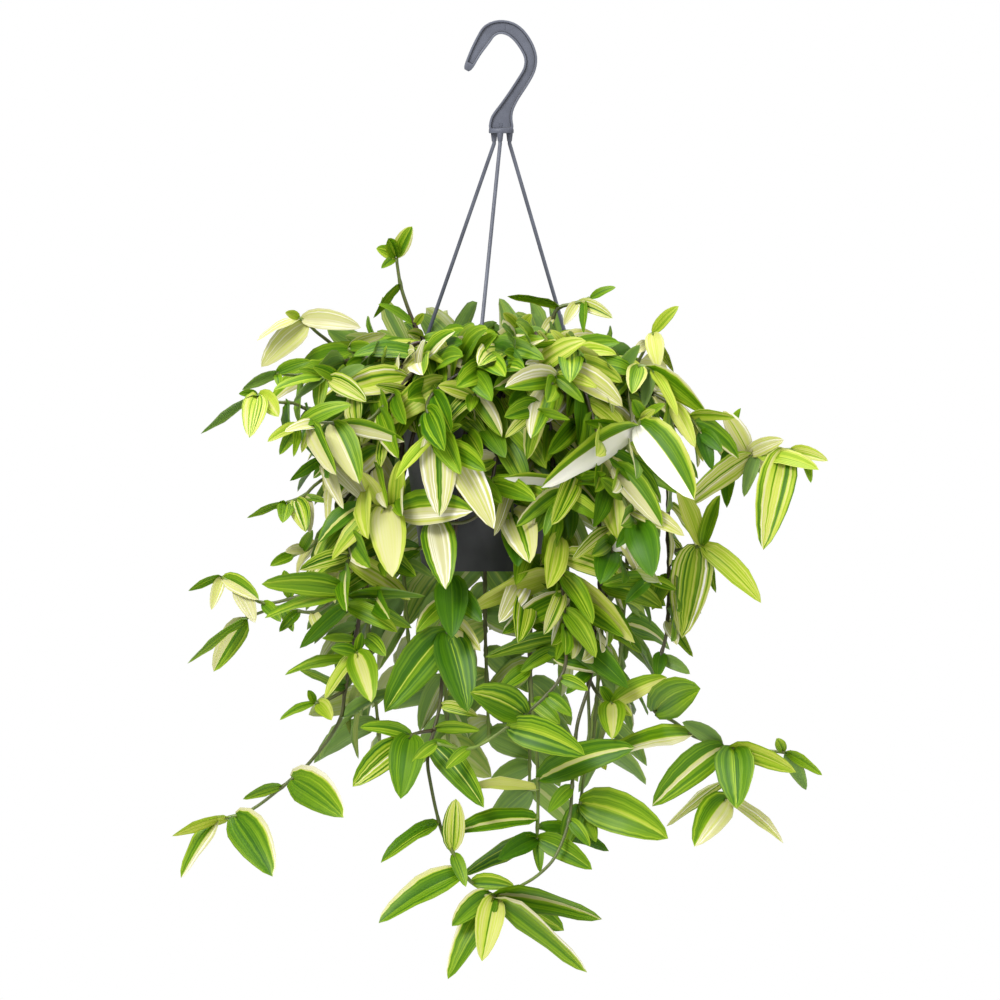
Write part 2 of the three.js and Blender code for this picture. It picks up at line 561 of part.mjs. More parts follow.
stem("ao", [-40, -88], [
  [664, 470], [668, 540], [669, 562], [667, 630], [659, 662], [650, 704], [676, 723], [694, 736], [725, 747],
  [760, 750], [785, 752],
], [
  [662, 702, 700, 688, 42], [638, 647, 657, 678, 16], [660, 658, 690, 674, 14], [692, 735, 603, 757, 22],
  [723, 747, 652, 806, 36], [729, 748, 796, 772, 22], [733, 750, 736, 808, 42], [785, 752, 822, 775, 12],
  [785, 756, 806, 790, 17], [783, 752, 776, 738, 12], [722, 745, 682, 722, 18], [667, 622, 693, 657, 12],
  [667, 620, 677, 645, 16], [667, 575, 652, 610, 18],
], [
  [[725, 747], [722, 772], [726, 799]],
  [[668, 552], [684, 549], [702, 546]],
], [
  [718, 782, 666, 826, 12], [726, 799, 694, 846, 36], [728, 799, 783, 843, 14],
  [697, 549, 682, 638, 44], [703, 546, 761, 603, 25], [701, 546, 676, 485, 20], [702, 544, 720, 495, 16],
  [702, 548, 716, 593, 12], [703, 550, 719, 646, 22], [699, 552, 742, 671, 14],
]);
stem("ap", [-30, -56], [[672, 424], [700, 430], [730, 448], [752, 455], [790, 450], [805, 455]], [
  [752, 455, 682, 508, 26], [750, 451, 723, 411, 22], [728, 440, 741, 408, 10], [748, 452, 784, 440, 18],
  [757, 455, 819, 470, 18], [790, 450, 828, 461, 14], [804, 456, 811, 483, 10], [757, 456, 744, 497, 15],
  [785, 452, 763, 550, 40], [730, 448, 727, 508, 18], [752, 456, 754, 566, 16],
]);

// ---------------------------------------------------------------- the stems behind, by a rule
// Round the back, where the front view shows nothing, stems hang from the rim at even turns with a leaf
// at every node, to the left and to the right in turn.
const BACK_FROM = 8; // degrees about the pot's axis
const BACK_TO = 172;
const BACK_OUT = 112; // how far from the axis the stems hang, at least
const BACK_OUT_MORE = 8; // and how much farther at most
const BACK_SWING = 10; // degrees that a stem may swing aside, in all
const BACK_DROPS = [250, 300, 210, 330, 290, 300, 230, 290, 270]; // below the rim
const BACK_START = [-14, 2]; // where a stem starts: farther out than it hangs, and below the rim
const BACK_COURSE = [[0, 0.2], [-4, 0.6], [-10, 1]]; // the same farther down, as shares of its drop
const BACK_NODE = 48; // mm from one leaf to the next
const BACK_FIRST = 0.9; // where the first leaf is, in nodes
const BACK_LEAF = 68; // its length
const BACK_SIZES = [0.8, 0.35]; // the least share of that, and how much may be added
const BACK_SLIM = 0.9;
const BACK_ASIDE = 0.62; // how far a leaf reaches sideways, outwards and down, as shares of its length
const BACK_OUTWARD = 0.4;
const BACK_FALL = [0.25, 0.5]; // at least, and how much may be added

function wobble(seed) {
  const mixed = Math.sin(seed * 12.9898) * 43758.5453;
  return mixed - Math.floor(mixed);
}

// ---------------------------------------------------------------- placing a stem
const onView = (x, y, depth) =>
  vec((x - SEAT_PIXEL.x) * MM_PER_PIXEL, depth, (SEAT_PIXEL.y - y) * MM_PER_PIXEL);

function lengthsAlong(points) {
  const lengths = [0];
  for (let i = 1; i < points.length; i++) {
    lengths.push(lengths[i - 1] + points[i].distanceTo(points[i - 1]));
  }
  return lengths;
}

// The visible route, its depth going evenly from near to far.
function visibleRoute(route, near, far) {
  const lengths = lengthsAlong(route.map(([x, y]) => onView(x, y, 0)));
  const whole = lengths[lengths.length - 1];
  return route.map(([x, y], i) => onView(x, y, near + ((far - near) * lengths[i]) / whole));
}

// A point every STEM_STEP or less along straight runs from point to point.
function stepped(points) {
  const steps = [points[0]];
  for (let i = 1; i < points.length; i++) {
    const count = Math.ceil(points[i].distanceTo(points[i - 1]) / STEM_STEP);
    for (let k = 1; k <= count; k++) {
      steps.push(points[i - 1].clone().lerp(points[i], k / count));
    }
  }
  return steps;
}

const azimuth = (point) => Math.atan2(point.y, point.x - POT_X) / DEGREE;

// The part of a stem that its leaves hide: out of the soil, up through the crown and over the rim. The stems
// are taken in order round the pot's axis, and each keeps to a half-plane of its own up to the rim. These
// are spread between the way the stem is going and an even share of the circle. A detour turns the place
// where the stem crosses the rim by some degrees, and lifts it.
function hiddenRoute(first, rank, count, [swing, lift]) {
  const even = -180 + (360 * (rank + 0.5)) / count;
  const angle = EVEN_SHARE * even + (1 - EVEN_SHARE) * azimuth(first);
  const root = aroundPot(angle, ROOT_RINGS[rank % ROOT_RINGS.length], RIM_Z - SOIL_BELOW_RIM - ROOT_DEPTH);
  const route = [root, root.clone().setZ(RIM_Z - SOIL_BELOW_RIM + ROOT_RISE)];
  const over = RIM_Z + CROWN_TIER * (1 + (rank % CROWN_TIERS)) + lift;
  const reach = Math.hypot(first.y, first.x - POT_X);
  if (reach > RIM_RADIUS + NEAR_RIM[0]) {
    route.push(aroundPot(angle + swing, RIM_RADIUS - CROSS_INSIDE, over));
  }
  if (reach > RIM_RADIUS + NEAR_RIM[1] && first.z < over - HANG_BELOW) {
    const outside = (angle + azimuth(first) + swing) / 2;
    route.push(aroundPot(outside, Math.min(reach, RIM_RADIUS + HANG_OUTSIDE), over - HANG_BELOW));
  }
  return route;
}

// A stem behind the pot: out over the rim and straight down.
function backRoute(k) {
  const angle = BACK_FROM + ((BACK_TO - BACK_FROM) * (k + 0.5)) / BACK_DROPS.length;
  const reach = BACK_OUT + BACK_OUT_MORE * wobble(k + 0.3);
  const swing = BACK_SWING * (wobble(k + 0.7) - 0.5);
  const [startOut, startDrop] = BACK_START;
  const course = BACK_COURSE.map(([out, share], i) =>
    aroundPot(angle + (i === 1 ? swing : 0), reach + out, RIM_Z - BACK_DROPS[k] * share),
  );
  return [aroundPot(angle, reach + startOut, RIM_Z - startDrop), ...course];
}

// The middle line of a leaf, from its stem to its tip. It rises and bulges outward first and then droops. A
// leaf that looks too short for its width points outward by the rest of its length.
function leafLine({ base, tip, width, outward }, turn) {
  const seen = Math.hypot(tip.x - base.x, tip.z - base.z);
  const length = Math.max(seen * SLANT, width / BLADE_ASPECT);
  const away = Math.sqrt(length * length - seen * seen) * (outward.y > 0 ? 1 : -1);
  const end = vec(tip.x, base.y + away + turn * TURN_STEP, tip.z);
  const bend = base.clone().lerp(end, BEND_AT).addScaledVector(outward, length * BLADE_LIFT);
  bend.z += length * BLADE_ARCH;
  return { curve: new THREE.QuadraticBezierCurve3(base, bend, end), length };
}

// Half the width of a blade, from 0 at its stem to 1 at its tip, as a share of its widest.
const bladeShare = (t) => 2.18 * (t + 0.02) ** 0.45 * (1 - t) ** 0.75;

// One leaf: a thin blade, flat above and keeled along its midrib below, in a few sections and a tip. A leaf
// that looks too narrow for its length is rolled about its midrib.
function blade(leaf, turn, grow, rows) {
  const { curve, length } = leafLine(leaf, turn);
  const full = Math.max(leaf.width, length * BLADE_ASPECT * SLIMMEST);
  const angle = Math.acos(leaf.width / full) * leaf.roll;
  const rings = rows.map((t) => {
    const along = curve.getTangent(t);
    const level = along.clone().cross(leaf.outward).normalize();
    const face = level.clone().cross(along);
    const across = level.clone().multiplyScalar(Math.cos(angle)).addScaledVector(face, Math.sin(angle));
    const normal = across.clone().cross(along);
    const half = (t === 0 ? NECK : (bladeShare(t) * full) / 2) + grow;
    const keel = (t === 0 ? NECK : BLADE_KEEL) + grow;
    const middle = curve.getPoint(t);
    const at = (side, lift) => middle.clone().addScaledVector(across, side).addScaledVector(normal, lift);
    return [at(half, grow), at(-half, grow), at(0, -keel)];
  });
  const end = curve.getPoint(1).addScaledVector(curve.getTangent(1), grow);
  return solid(loftGeometry(loft([...rings, [end]])));
}

// ---------------------------------------------------------------- growing the plant
function nearestOn(routes, x, z) {
  let best = { away: Infinity };
  for (const route of routes) {
    for (let i = 1; i < route.length; i++) {
      const run = route[i].clone().sub(route[i - 1]);
      const flat = run.x * run.x + run.z * run.z;
      const share = ((x - route[i - 1].x) * run.x + (z - route[i - 1].z) * run.z) / flat;
      const point = route[i - 1].clone().addScaledVector(run, Math.min(1, Math.max(0, share)));
      const away = Math.hypot(point.x - x, point.z - z);
      if (away < best.away) {
        best = { away, point };
      }
    }
  }
  return best.point;
}

function frontStem({ name, near, far, route, branches, leaves }) {
  const main = visibleRoute(route, near, far);
  const routes = [main];
  for (const branch of branches) {
    const start = onView(...branch[0], 0);
    const depth = nearestOn([main], start.x, start.z).y;
    routes.push(visibleRoute(branch, depth, depth - BRANCH_OUT));
  }
  const blades = leaves.map(([baseX, baseY, tipX, tipY, width], i) => {
    const seat = onView(baseX, baseY, 0);
    return {
      base: nearestOn(routes, seat.x, seat.z),
      tip: onView(tipX, tipY, 0),
      width: width * MM_PER_PIXEL,
      outward: vec(0, -1, 0),
      roll: i % 2 === 0 ? 1 : -1,
    };
  });
  return { name, routes, blades };
}

function backStem(k) {
  const main = backRoute(k);
  const lengths = lengthsAlong(main);
  const count = Math.floor(lengths[lengths.length - 1] / BACK_NODE);
  const middle = main[1].clone().sub(vec(POT_X, 0, main[1].z)).normalize();
  const sideways = vec(-middle.y, middle.x, 0);
  const path = new THREE.CurvePath();
  main.slice(1).forEach((point, i) => path.add(new THREE.LineCurve3(main[i], point)));
  const blades = Array.from({ length: count }, (_, i) => {
    const base = path.getPoint((i + BACK_FIRST) / count);
    const side = i % 2 === 0 ? 1 : -1;
    const size = BACK_LEAF * (BACK_SIZES[0] + BACK_SIZES[1] * wobble(20 * k + i));
    const tip = base
      .clone()
      .addScaledVector(sideways, side * size * BACK_ASIDE)
      .addScaledVector(middle, size * BACK_OUTWARD)
      .addScaledVector(UP, -size * (BACK_FALL[0] + BACK_FALL[1] * wobble(20 * k + i + 0.5)));
    return { base, tip, width: size * BLADE_ASPECT * BACK_SLIM, outward: middle, roll: side };
  });
  return { name: `back_${k + 1}`, routes: [main], blades };
}

const plants = [...STEMS.map(frontStem), ...BACK_DROPS.map((_, k) => backStem(k))];
const ranked = [...plants].sort((p, q) => azimuth(p.routes[0][0]) - azimuth(q.routes[0][0]));
ranked.forEach((plant, rank) => {
  plant.detours = DETOURS.map((detour) => hiddenRoute(plant.routes[0][0], rank, plants.length, detour));
  [plant.root] = plant.detours[0];
});

const boxed = (owner, made) => ({ owner, made, box: made.boundingBox() });
const overlaps = (p, q) =>
  [0, 1, 2].every((k) => p.box.min[k] <= q.box.max[k] && q.box.min[k] <= p.box.max[k]) &&
  p.made.intersect(q.made).volume() > 0;

// Stems are grown first, each by the first detour that is clear. Then each leaf in turn is bent clear of
// every stem, leaf, rod and of the pot, by moving its tip nearer or farther, which leaves the front view as
// it is. Beside its own stem and that stem's leaves only its outer part has to be clear. A leaf that finds
// no room isn't grown.
function growPlants(others) {
  const grown = others.map((made) => boxed(-1, made));
  plants.forEach(({ detours, routes: [main, ...branches] }, owner) => {
    const free = (route) => {
      const tried = boxed(owner, tube(stepped([...route, ...main]), STEM_RADIUS + CLEARANCE, SIDES.stem));
      return !grown.some((piece) => overlaps(tried, piece));
    };
    const hidden = detours.find(free) ?? detours[0];
    for (const route of [[...hidden, ...main], ...branches]) {
      const piece = boxed(owner, tube(stepped(route), STEM_RADIUS, SIDES.stem));
      piece.outer = piece;
      grown.push(piece);
    }
  });
  plants.forEach(({ blades }, owner) => {
    for (const leaf of blades) {
      const rows = leaf.width < SMALL_WIDTH ? SMALL_ROWS : BLADE_ROWS;
      const outerRows = [OUTER_FROM, ...rows.slice(rows.length - 1)];
      const turn = TURNS.find((step) => {
        const whole = boxed(owner, blade(leaf, step, CLEARANCE, rows));
        const outer = boxed(owner, blade(leaf, step, CLEARANCE, outerRows));
        return !grown.some((piece) =>
          piece.owner === owner ? overlaps(outer, piece.outer) : overlaps(whole, piece),
        );
      });
      if (turn !== undefined) {
        const piece = boxed(owner, blade(leaf, turn, 0, rows));
        piece.outer = boxed(owner, blade(leaf, turn, 0, outerRows));
        grown.push(piece);
      }
    }
  });
  return plants.map((_, owner) =>
    wasm.Manifold.union(grown.filter((piece) => piece.owner === owner).map((piece) => piece.made)),
  );
}

// ---------------------------------------------------------------- the assembly
const group = new THREE.Group();
function add(name, made, colour, roughness) {
  const mesh = new THREE.Mesh(
    geometryOf(made),
    new THREE.MeshStandardMaterial({ color: colour, roughness, metalness: 0 }),
  );
  mesh.name = name;
  group.add(mesh);
}

const hookMade = hook();
const rods = ROD_ANGLES.map(hangerRod);
const potMade = pot();
const grownPlants = growPlants([hookMade, ...rods, potMade]);

add("hook", hookMade, HANGER_GREY, 0.55);
["front", "right", "left"].forEach((side, k) => add(`hanger_rod_${side}`, rods[k], HANGER_GREY, 0.5));
add("pot", potMade, POT_GREY, 0.5);
add("soil", soil(plants), SOIL_BROWN, 0.95);
grownPlants.forEach((made, k) => add(`stem_${plants[k].name}`, made, LEAF_GREEN, 0.6));

export default group;
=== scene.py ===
# %% [markdown]
# # A hanging pot of striped tradescantia
#
# The plant hangs from a moulded plastic hook on three thin rods that clip to the rim of a charcoal pot.
# Long stems trail over the rim, and every leaf is striped in its own mix of green, yellow and cream.
#
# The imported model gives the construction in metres, with +Z up and -Y towards the viewer. Its soil only
# gets a finish here, the rods and the pot become softened copies, and the hook is modelled again. Its
# stems and leaves are plain and faceted, and finer ones take their place, with the same tips and widths,
# a curved blade, a fold and a clasping base.

# %% Load the model as the frame
import math

import bpy
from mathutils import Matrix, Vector


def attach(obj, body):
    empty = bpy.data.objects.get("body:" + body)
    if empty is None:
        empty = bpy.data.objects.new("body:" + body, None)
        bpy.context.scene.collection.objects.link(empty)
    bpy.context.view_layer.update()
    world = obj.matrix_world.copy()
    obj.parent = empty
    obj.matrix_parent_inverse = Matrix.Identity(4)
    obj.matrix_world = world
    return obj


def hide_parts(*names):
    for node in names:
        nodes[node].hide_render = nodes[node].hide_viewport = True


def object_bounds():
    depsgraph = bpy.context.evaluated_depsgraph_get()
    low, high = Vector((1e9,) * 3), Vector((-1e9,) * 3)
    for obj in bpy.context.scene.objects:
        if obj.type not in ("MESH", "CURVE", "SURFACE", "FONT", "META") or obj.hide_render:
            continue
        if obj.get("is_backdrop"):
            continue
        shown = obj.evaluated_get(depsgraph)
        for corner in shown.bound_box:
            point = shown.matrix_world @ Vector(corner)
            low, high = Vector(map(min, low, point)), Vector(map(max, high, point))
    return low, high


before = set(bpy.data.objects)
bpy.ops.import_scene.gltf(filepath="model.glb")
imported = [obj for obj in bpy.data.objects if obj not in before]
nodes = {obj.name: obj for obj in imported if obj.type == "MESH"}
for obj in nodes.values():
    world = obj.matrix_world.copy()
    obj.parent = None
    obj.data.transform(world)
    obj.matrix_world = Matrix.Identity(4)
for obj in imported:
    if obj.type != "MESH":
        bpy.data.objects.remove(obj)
cad_box = [list(corner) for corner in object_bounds()]
print(len(nodes), "nodes in the box", cad_box)


def select_only(*pieces):
    bpy.ops.object.select_all(action="DESELECT")
    for piece in pieces:
        piece.select_set(True)
    if pieces:
        bpy.context.view_layer.objects.active = pieces[0]


select_only()

# %% [markdown]
# ## Camera, floor and light
#
# The photograph was taken level with the plant and from well back, so that near and far leaves are drawn
# at one scale. A long lens from far off does the same here. The floor is one wide pale plane well below
# the hanging plant. A curved backdrop would give the same white behind it, but it would stand in the way
# when the plant is looked at from behind, so the white room around it does that instead.

# %% Camera
MM = 0.001
MM_PER_PIXEL = 0.8  # scale of the front view, as in the solids
SEAT_PIXEL = (500, 34)
VIEW_PIXELS = 1000
DISTANCE = 30.0
PLANT_FRONT = 0.06  # the lens is set for a plane this far in front of the hook
SENSOR = 36.0
FARTHEST = 90

view_width = VIEW_PIXELS * MM_PER_PIXEL * MM
camera_data = bpy.data.cameras.new("camera")
camera_data.sensor_width = SENSOR
camera_data.lens = SENSOR * DISTANCE / view_width
camera_data.clip_end = FARTHEST
camera = bpy.data.objects.new("camera", camera_data)
middle_z = (SEAT_PIXEL[1] - VIEW_PIXELS / 2) * MM_PER_PIXEL * MM
camera.location = (0, -DISTANCE - PLANT_FRONT, middle_z)
camera.rotation_euler = (math.radians(90), 0, 0)
bpy.context.scene.collection.objects.link(camera)
bpy.context.scene.camera = camera
print("lens", round(camera_data.lens), "mm, level with z", round(middle_z, 3))

# %% Pale floor
FLOOR_Z = -1.5
FLOOR_SIZE = 60.0

bpy.ops.mesh.primitive_plane_add(size=FLOOR_SIZE, location=(0, 0, 0))
floor = bpy.context.object
floor.name = "floor"
for corner in floor.data.vertices:
    corner.co.z = FLOOR_Z
floor_paint = bpy.data.materials.new("floor_paint")
floor_paint.use_nodes = True
floor_surface = floor_paint.node_tree.nodes["Principled BSDF"]
floor_surface.inputs["Base Color"].default_value = (0.86, 0.86, 0.86, 1)
floor_surface.inputs["Roughness"].default_value = 0.9
floor.data.materials.append(floor_paint)
floor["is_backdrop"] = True
print("floor", FLOOR_SIZE, "m wide at", FLOOR_Z)

# %% Soft light
ROOM_LIGHT = 0.54


def area_light(name, place, target, size, power):
    data = bpy.data.lights.new(name, "AREA")
    data.size = size
    data.energy = power
    light = bpy.data.objects.new(name, data)
    light.location = place
    light.rotation_euler = (Vector(target) - Vector(place)).to_track_quat("-Z", "Y").to_euler()
    bpy.context.scene.collection.objects.link(light)


area_light("key", (-1.5, -2.4, 1.5), (0, 0, -0.35), 1.3, 110)
area_light("fill", (2.2, -2.4, 0.0), (0, 0, -0.4), 2.2, 26)
area_light("top", (0.2, 0.0, 2.2), (0, 0, -0.3), 1.6, 66)

world = bpy.data.worlds.new("studio")
world.use_nodes = True
room = world.node_tree
soft_glow = room.nodes["Background"]
soft_glow.inputs["Color"].default_value = (1, 1, 1, 1)
soft_glow.inputs["Strength"].default_value = ROOM_LIGHT
white_wall = room.nodes.new("ShaderNodeBackground")
white_wall.inputs["Color"].default_value = (1, 1, 1, 1)
seen = room.nodes.new("ShaderNodeLightPath")
choice = room.nodes.new("ShaderNodeMixShader")
room.links.new(seen.outputs["Is Camera Ray"], choice.inputs[0])
room.links.new(soft_glow.outputs[0], choice.inputs[1])
room.links.new(white_wall.outputs[0], choice.inputs[2])
room.links.new(choice.outputs[0], room.nodes["World Output"].inputs["Surface"])
bpy.context.scene.world = world
bpy.context.scene.view_settings.view_transform = "Standard"
print("three lights and a white room")

# %% [markdown]
# ## Finishes
#
# Each finish is a small tree of shader nodes round one Principled surface. A helper adds a node and links
# what is given to its sockets, which keeps every recipe below to a few lines. Patterns on the moulded
# pieces read Object coordinates, in metres, and the leaf reads its own UV map, so that its stripes follow
# the blade however it bends.

# %% Helpers for shader nodes
def new_material(name):
    material = bpy.data.materials.new(name)
    material.use_nodes = True
    return material, material.node_tree, material.node_tree.nodes["Principled BSDF"]


def feed(tree, value, socket):
    if isinstance(value, bpy.types.NodeSocket):
        tree.links.new(value, socket)
    else:
        socket.default_value = value


def add_node(tree, kind, settings=None, **inputs):
    node = tree.nodes.new(kind)
    for key, value in (settings or {}).items():
        setattr(node, key, value)
    for key, value in inputs.items():
        socket = node.inputs[int(key[1:])] if key[1:].isdigit() else node.inputs[key.replace("_", " ")]
        feed(tree, value, socket)
    return node


def sums(tree, operation, *values):
    node = add_node(tree, "ShaderNodeMath", {"operation": operation})
    for socket, value in zip(node.inputs, values):
        feed(tree, value, socket)
    return node.outputs[0]


def blend(tree, share, first, second):
    node = add_node(tree, "ShaderNodeMix", {"data_type": "RGBA"}, _0=share, _6=first, _7=second)
    return node.outputs[2]


def ramp(tree, value, stops):
    node = add_node(tree, "ShaderNodeValToRGB", Fac=value)
    elements = node.color_ramp.elements
    elements[0].position, elements[0].color = stops[0]
    elements[1].position, elements[1].color = stops[-1]
    for position, colour in stops[1:-1]:
        elements.new(position).color = colour
    return node.outputs["Color"]


def set_bump(tree, surface, height, strength, distance):
    bump = add_node(tree, "ShaderNodeBump", Height=height, Strength=strength, Distance=distance)
    tree.links.new(bump.outputs["Normal"], surface.inputs["Normal"])


def noise(tree, vector, scale, detail=2.0):
    return add_node(tree, "ShaderNodeTexNoise", Vector=vector, Scale=scale, Detail=detail).outputs["Fac"]


def rgb(red, green, blue):
    def linear(value):
        share = value / 255
        return share / 12.92 if share <= 0.04045 else ((share + 0.055) / 1.055) ** 2.4

    return (linear(red), linear(green), linear(blue), 1.0)


# %% [markdown]
# ### Moulded plastic
#
# The hanger is blue-grey and matt, and the pot charcoal with a soft sheen. Moulded plastic is never one
# flat colour: it is faintly mottled, a little paler where it is rubbed, and its fine texture breaks up the
# highlights. Noise at two sizes gives the mottling and the texture, and an attribute that the hook carries
# darkens the crease beside its rib with painted shade.

# %% Plastic finishes
def moulded(name, dark, pale, rough, grain):
    material, tree, surface = new_material(name)
    place = add_node(tree, "ShaderNodeTexCoord").outputs["Object"]
    cloudy = noise(tree, place, 45.0, 3.0)
    fine = noise(tree, place, grain)
    tone = ramp(tree, cloudy, [(0.3, dark), (0.7, pale)])
    # Painted shade: the hook's crease attribute blends the crease beside its rib towards dark grey.
    painted_crease_shade = add_node(tree, "ShaderNodeAttribute", {"attribute_name": "crease"}).outputs["Fac"]
    shadowed = blend(tree, sums(tree, "MULTIPLY", painted_crease_shade, 0.85), tone, rgb(30, 32, 38))
    tree.links.new(shadowed, surface.inputs["Base Color"])
    roughness = sums(tree, "MULTIPLY_ADD", cloudy, 0.16, rough)
    tree.links.new(roughness, surface.inputs["Roughness"])
    set_bump(tree, surface, fine, 0.15, 0.0003)
    return material


hanger_plastic = moulded("hanger_plastic", rgb(76, 79, 90), rgb(93, 97, 109), 0.42, 900.0)
pot_plastic = moulded("pot_plastic", rgb(34, 34, 38), rgb(46, 46, 51), 0.3, 700.0)
print("plastic:", hanger_plastic.name, pot_plastic.name)

# %% [markdown]
# ### Potting soil
#
# Moist peat is nearly black with brown crumbs and a few pale flecks. The flecks are the cells of a Voronoi
# pattern whose random value is high, and the same cells raise the surface, so that it looks crumbly.

# %% Soil finish
soil_finish, tree, surface = new_material("soil_peat")
place = add_node(tree, "ShaderNodeTexCoord").outputs["Object"]
crumbs = add_node(tree, "ShaderNodeTexVoronoi", Vector=place, Scale=330.0)
patches = noise(tree, place, 60.0, 4.0)
peat = ramp(tree, patches, [(0.3, rgb(22, 15, 11)), (0.6, rgb(52, 36, 25)), (0.85, rgb(84, 62, 44))])
fleck = sums(tree, "GREATER_THAN", crumbs.outputs["Color"], 0.93)
tree.links.new(blend(tree, fleck, peat, rgb(150, 128, 100)), surface.inputs["Base Color"])
surface.inputs["Roughness"].default_value = 0.95
set_bump(tree, surface, crumbs.outputs["Distance"], 0.9, 0.002)

for slot in nodes["soil"].material_slots:
    slot.material = soil_finish
print("soil:", soil_finish.name)

# %% [markdown]
# ## The hook
#
# The hook is a flat strip that curls over the rail and widens into a gusset on a round base plate. A rib
# runs round its edge and the web inside lies lower. The solid has the same rows, joined by straight runs.
# Here a one-column grid is laid along the rounded rows and extruded to the hook's thickness. Insetting the
# front and the back faces leaves a rib of even width by itself. A second inset is moved in and makes the
# recess, and a third marks the crease. That would be much slower to draw as a profile.

# %% The hook's rows: middle across, middle up, half the width
HOOK_ROWS = [
    (-26.9, -28.4, 1.9), (-25.9, -26.6, 3.2), (-24.6, -24.2, 3.8), (-19.4, -13.6, 4.8), (-12.9, -3.0, 5.9),
    (-8.6, 3.0, 6.1), (-2.9, 5.9, 5.7), (2.4, 6.3, 5.65), (8.6, 4.6, 5.9), (14.6, 0.2, 6.0),
    (20.4, -7.6, 5.8), (23.9, -15.2, 5.4), (24.7, -21.5, 5.15), (23.2, -28.6, 5.0), (18.4, -37.2, 5.1),
    (9.9, -50.3, 5.2), (4.8, -59.2, 6.3), (1.5, -67.6, 9.0), (0.9, -73.0, 9.9), (1.0, -76.4, 9.6),
]
ROW_STEP = 3.5  # longer than the rib, the wall and the crease are wide together
HOOK_THICKNESS = 7.0
HOOK_RIB = 1.7
HOOK_RECESS = 2.2
WALL_DRAFT = 0.35  # how far the recess's walls lean in
CREASE = 0.7
WEB_FROM = 3.7  # half the width where the recess starts
WEB_FREE = 2.0  # and how far it keeps from narrower rows


def rounded(points, step, least=2):
    path = []
    for k in range(len(points) - 1):
        before = points[k - 1] if k else points[0] * 2 - points[1]
        first, second = points[k], points[k + 1]
        after = points[k + 2] if k + 2 < len(points) else second * 2 - first
        length = (second - first).length
        start = (second - before) / ((second - before).length or 1) * length
        stop = (after - first) / ((after - first).length or 1) * length
        count = max(least, math.ceil(length / step))
        for i in range(count):
            t = i / count
            path.append(
                first * (2 * t**3 - 3 * t**2 + 1)
                + start * (t**3 - 2 * t**2 + t)
                + second * (3 * t**2 - 2 * t**3)
                + stop * (t**3 - t**2)
            )
    return [*path, points[-1]]


hook_rows = rounded([Vector(row) for row in HOOK_ROWS], ROW_STEP, 1)
print(len(hook_rows), "rows along the hook")

# %% The strip, its thickness and its recess
import bmesh

bpy.ops.mesh.primitive_grid_add(x_subdivisions=1, y_subdivisions=len(hook_rows) - 1, size=1)
hook_fine = bpy.context.object
hook_fine.name = "hook_fine"
for vert in hook_fine.data.vertices:
    k = round((vert.co.y + 0.5) * (len(hook_rows) - 1))
    x, z, half = hook_rows[k]
    ahead = hook_rows[min(k + 1, len(hook_rows) - 1)] - hook_rows[max(k - 1, 0)]
    run = math.hypot(ahead.x, ahead.y)
    side = math.copysign(half, vert.co.x)
    vert.co = Vector((x - ahead.y / run * side, -HOOK_THICKNESS / 2, z + ahead.x / run * side)) * MM
bpy.ops.object.mode_set(mode="EDIT")
bpy.ops.mesh.select_all(action="SELECT")
bpy.ops.mesh.extrude_region_move(TRANSFORM_OT_translate={"value": (0, HOOK_THICKNESS * MM, 0)})
bpy.ops.mesh.select_all(action="SELECT")
bpy.ops.mesh.normals_make_consistent(inside=False)
narrow = [Vector((x, 0, z)) * MM for x, z, half in hook_rows if half < WEB_FROM]


def select_faces(keep):
    bpy.ops.mesh.select_all(action="DESELECT")
    bpy.ops.mesh.select_mode(type="FACE")
    shell = bmesh.from_edit_mesh(hook_fine.data)
    for face in shell.faces:
        face.select_set(keep(face.normal, face.calc_center_median()))
    bmesh.update_edit_mesh(hook_fine.data)


for facing in (-1, 1):
    select_faces(
        lambda normal, middle: normal.y * facing > 0.9
        and all((Vector((middle.x, 0, middle.z)) - place).length > WEB_FREE * MM for place in narrow)
    )
    bpy.ops.mesh.inset(thickness=HOOK_RIB * MM, depth=0, use_even_offset=True)
    bpy.ops.mesh.inset(thickness=WALL_DRAFT * MM, depth=0, use_even_offset=True)
    bpy.ops.transform.translate(value=(0, -facing * HOOK_RECESS * MM, 0))
    bpy.ops.mesh.inset(thickness=CREASE * MM, depth=0, use_even_offset=True)
bpy.ops.object.mode_set(mode="OBJECT")
print("hook strip:", len(hook_fine.data.polygons), "faces")

# %% Crease attribute, plate and sockets
PLATE_X = 1.0
PLATE_TOP = -75.4
PLATE_THICKNESS = 3.4
PLATE_RADIUS = 10.0
ROD_CIRCLE = 7.2
ROD_ANGLES = (-97.4, 22.6, 142.6)
SOCKET_HEIGHT = 6.6
SOCKET_RADII = (2.8, 1.9)
SOCKET_IN_PLATE = 1.0
PLATE_SIDES = 48
SOCKET_SIDES = 24
MOULD_MARKS = [(4.0, 6.0, 0.5, 4.6), (-0.4, -71.9, 0.5, 4.0), (1.6, -71.9, 0.5, 4.0)]  # x, z, width, height
MARK_RISE = 0.4
HOOK_ROUND = 0.35
PLATE_ROUND = 0.5
MARK_ROUND = 0.12
SHARP = math.radians(38)  # edges that turn more are rounded, or stay sharp in the shading


def set_layer(mesh, name, kind, values, domain="POINT"):
    layer = mesh.attributes.new(name, kind, domain)
    layer.data.foreach_set("value" if kind == "FLOAT" else "color", values)


def round_edges(piece, width, segments=2):
    bevel = piece.modifiers.new("round", "BEVEL")
    bevel.width = width * MM
    bevel.segments = segments
    bevel.limit_method = "ANGLE"
    bevel.angle_limit = SHARP
    select_only(piece)
    bpy.ops.object.modifier_apply(modifier="round")


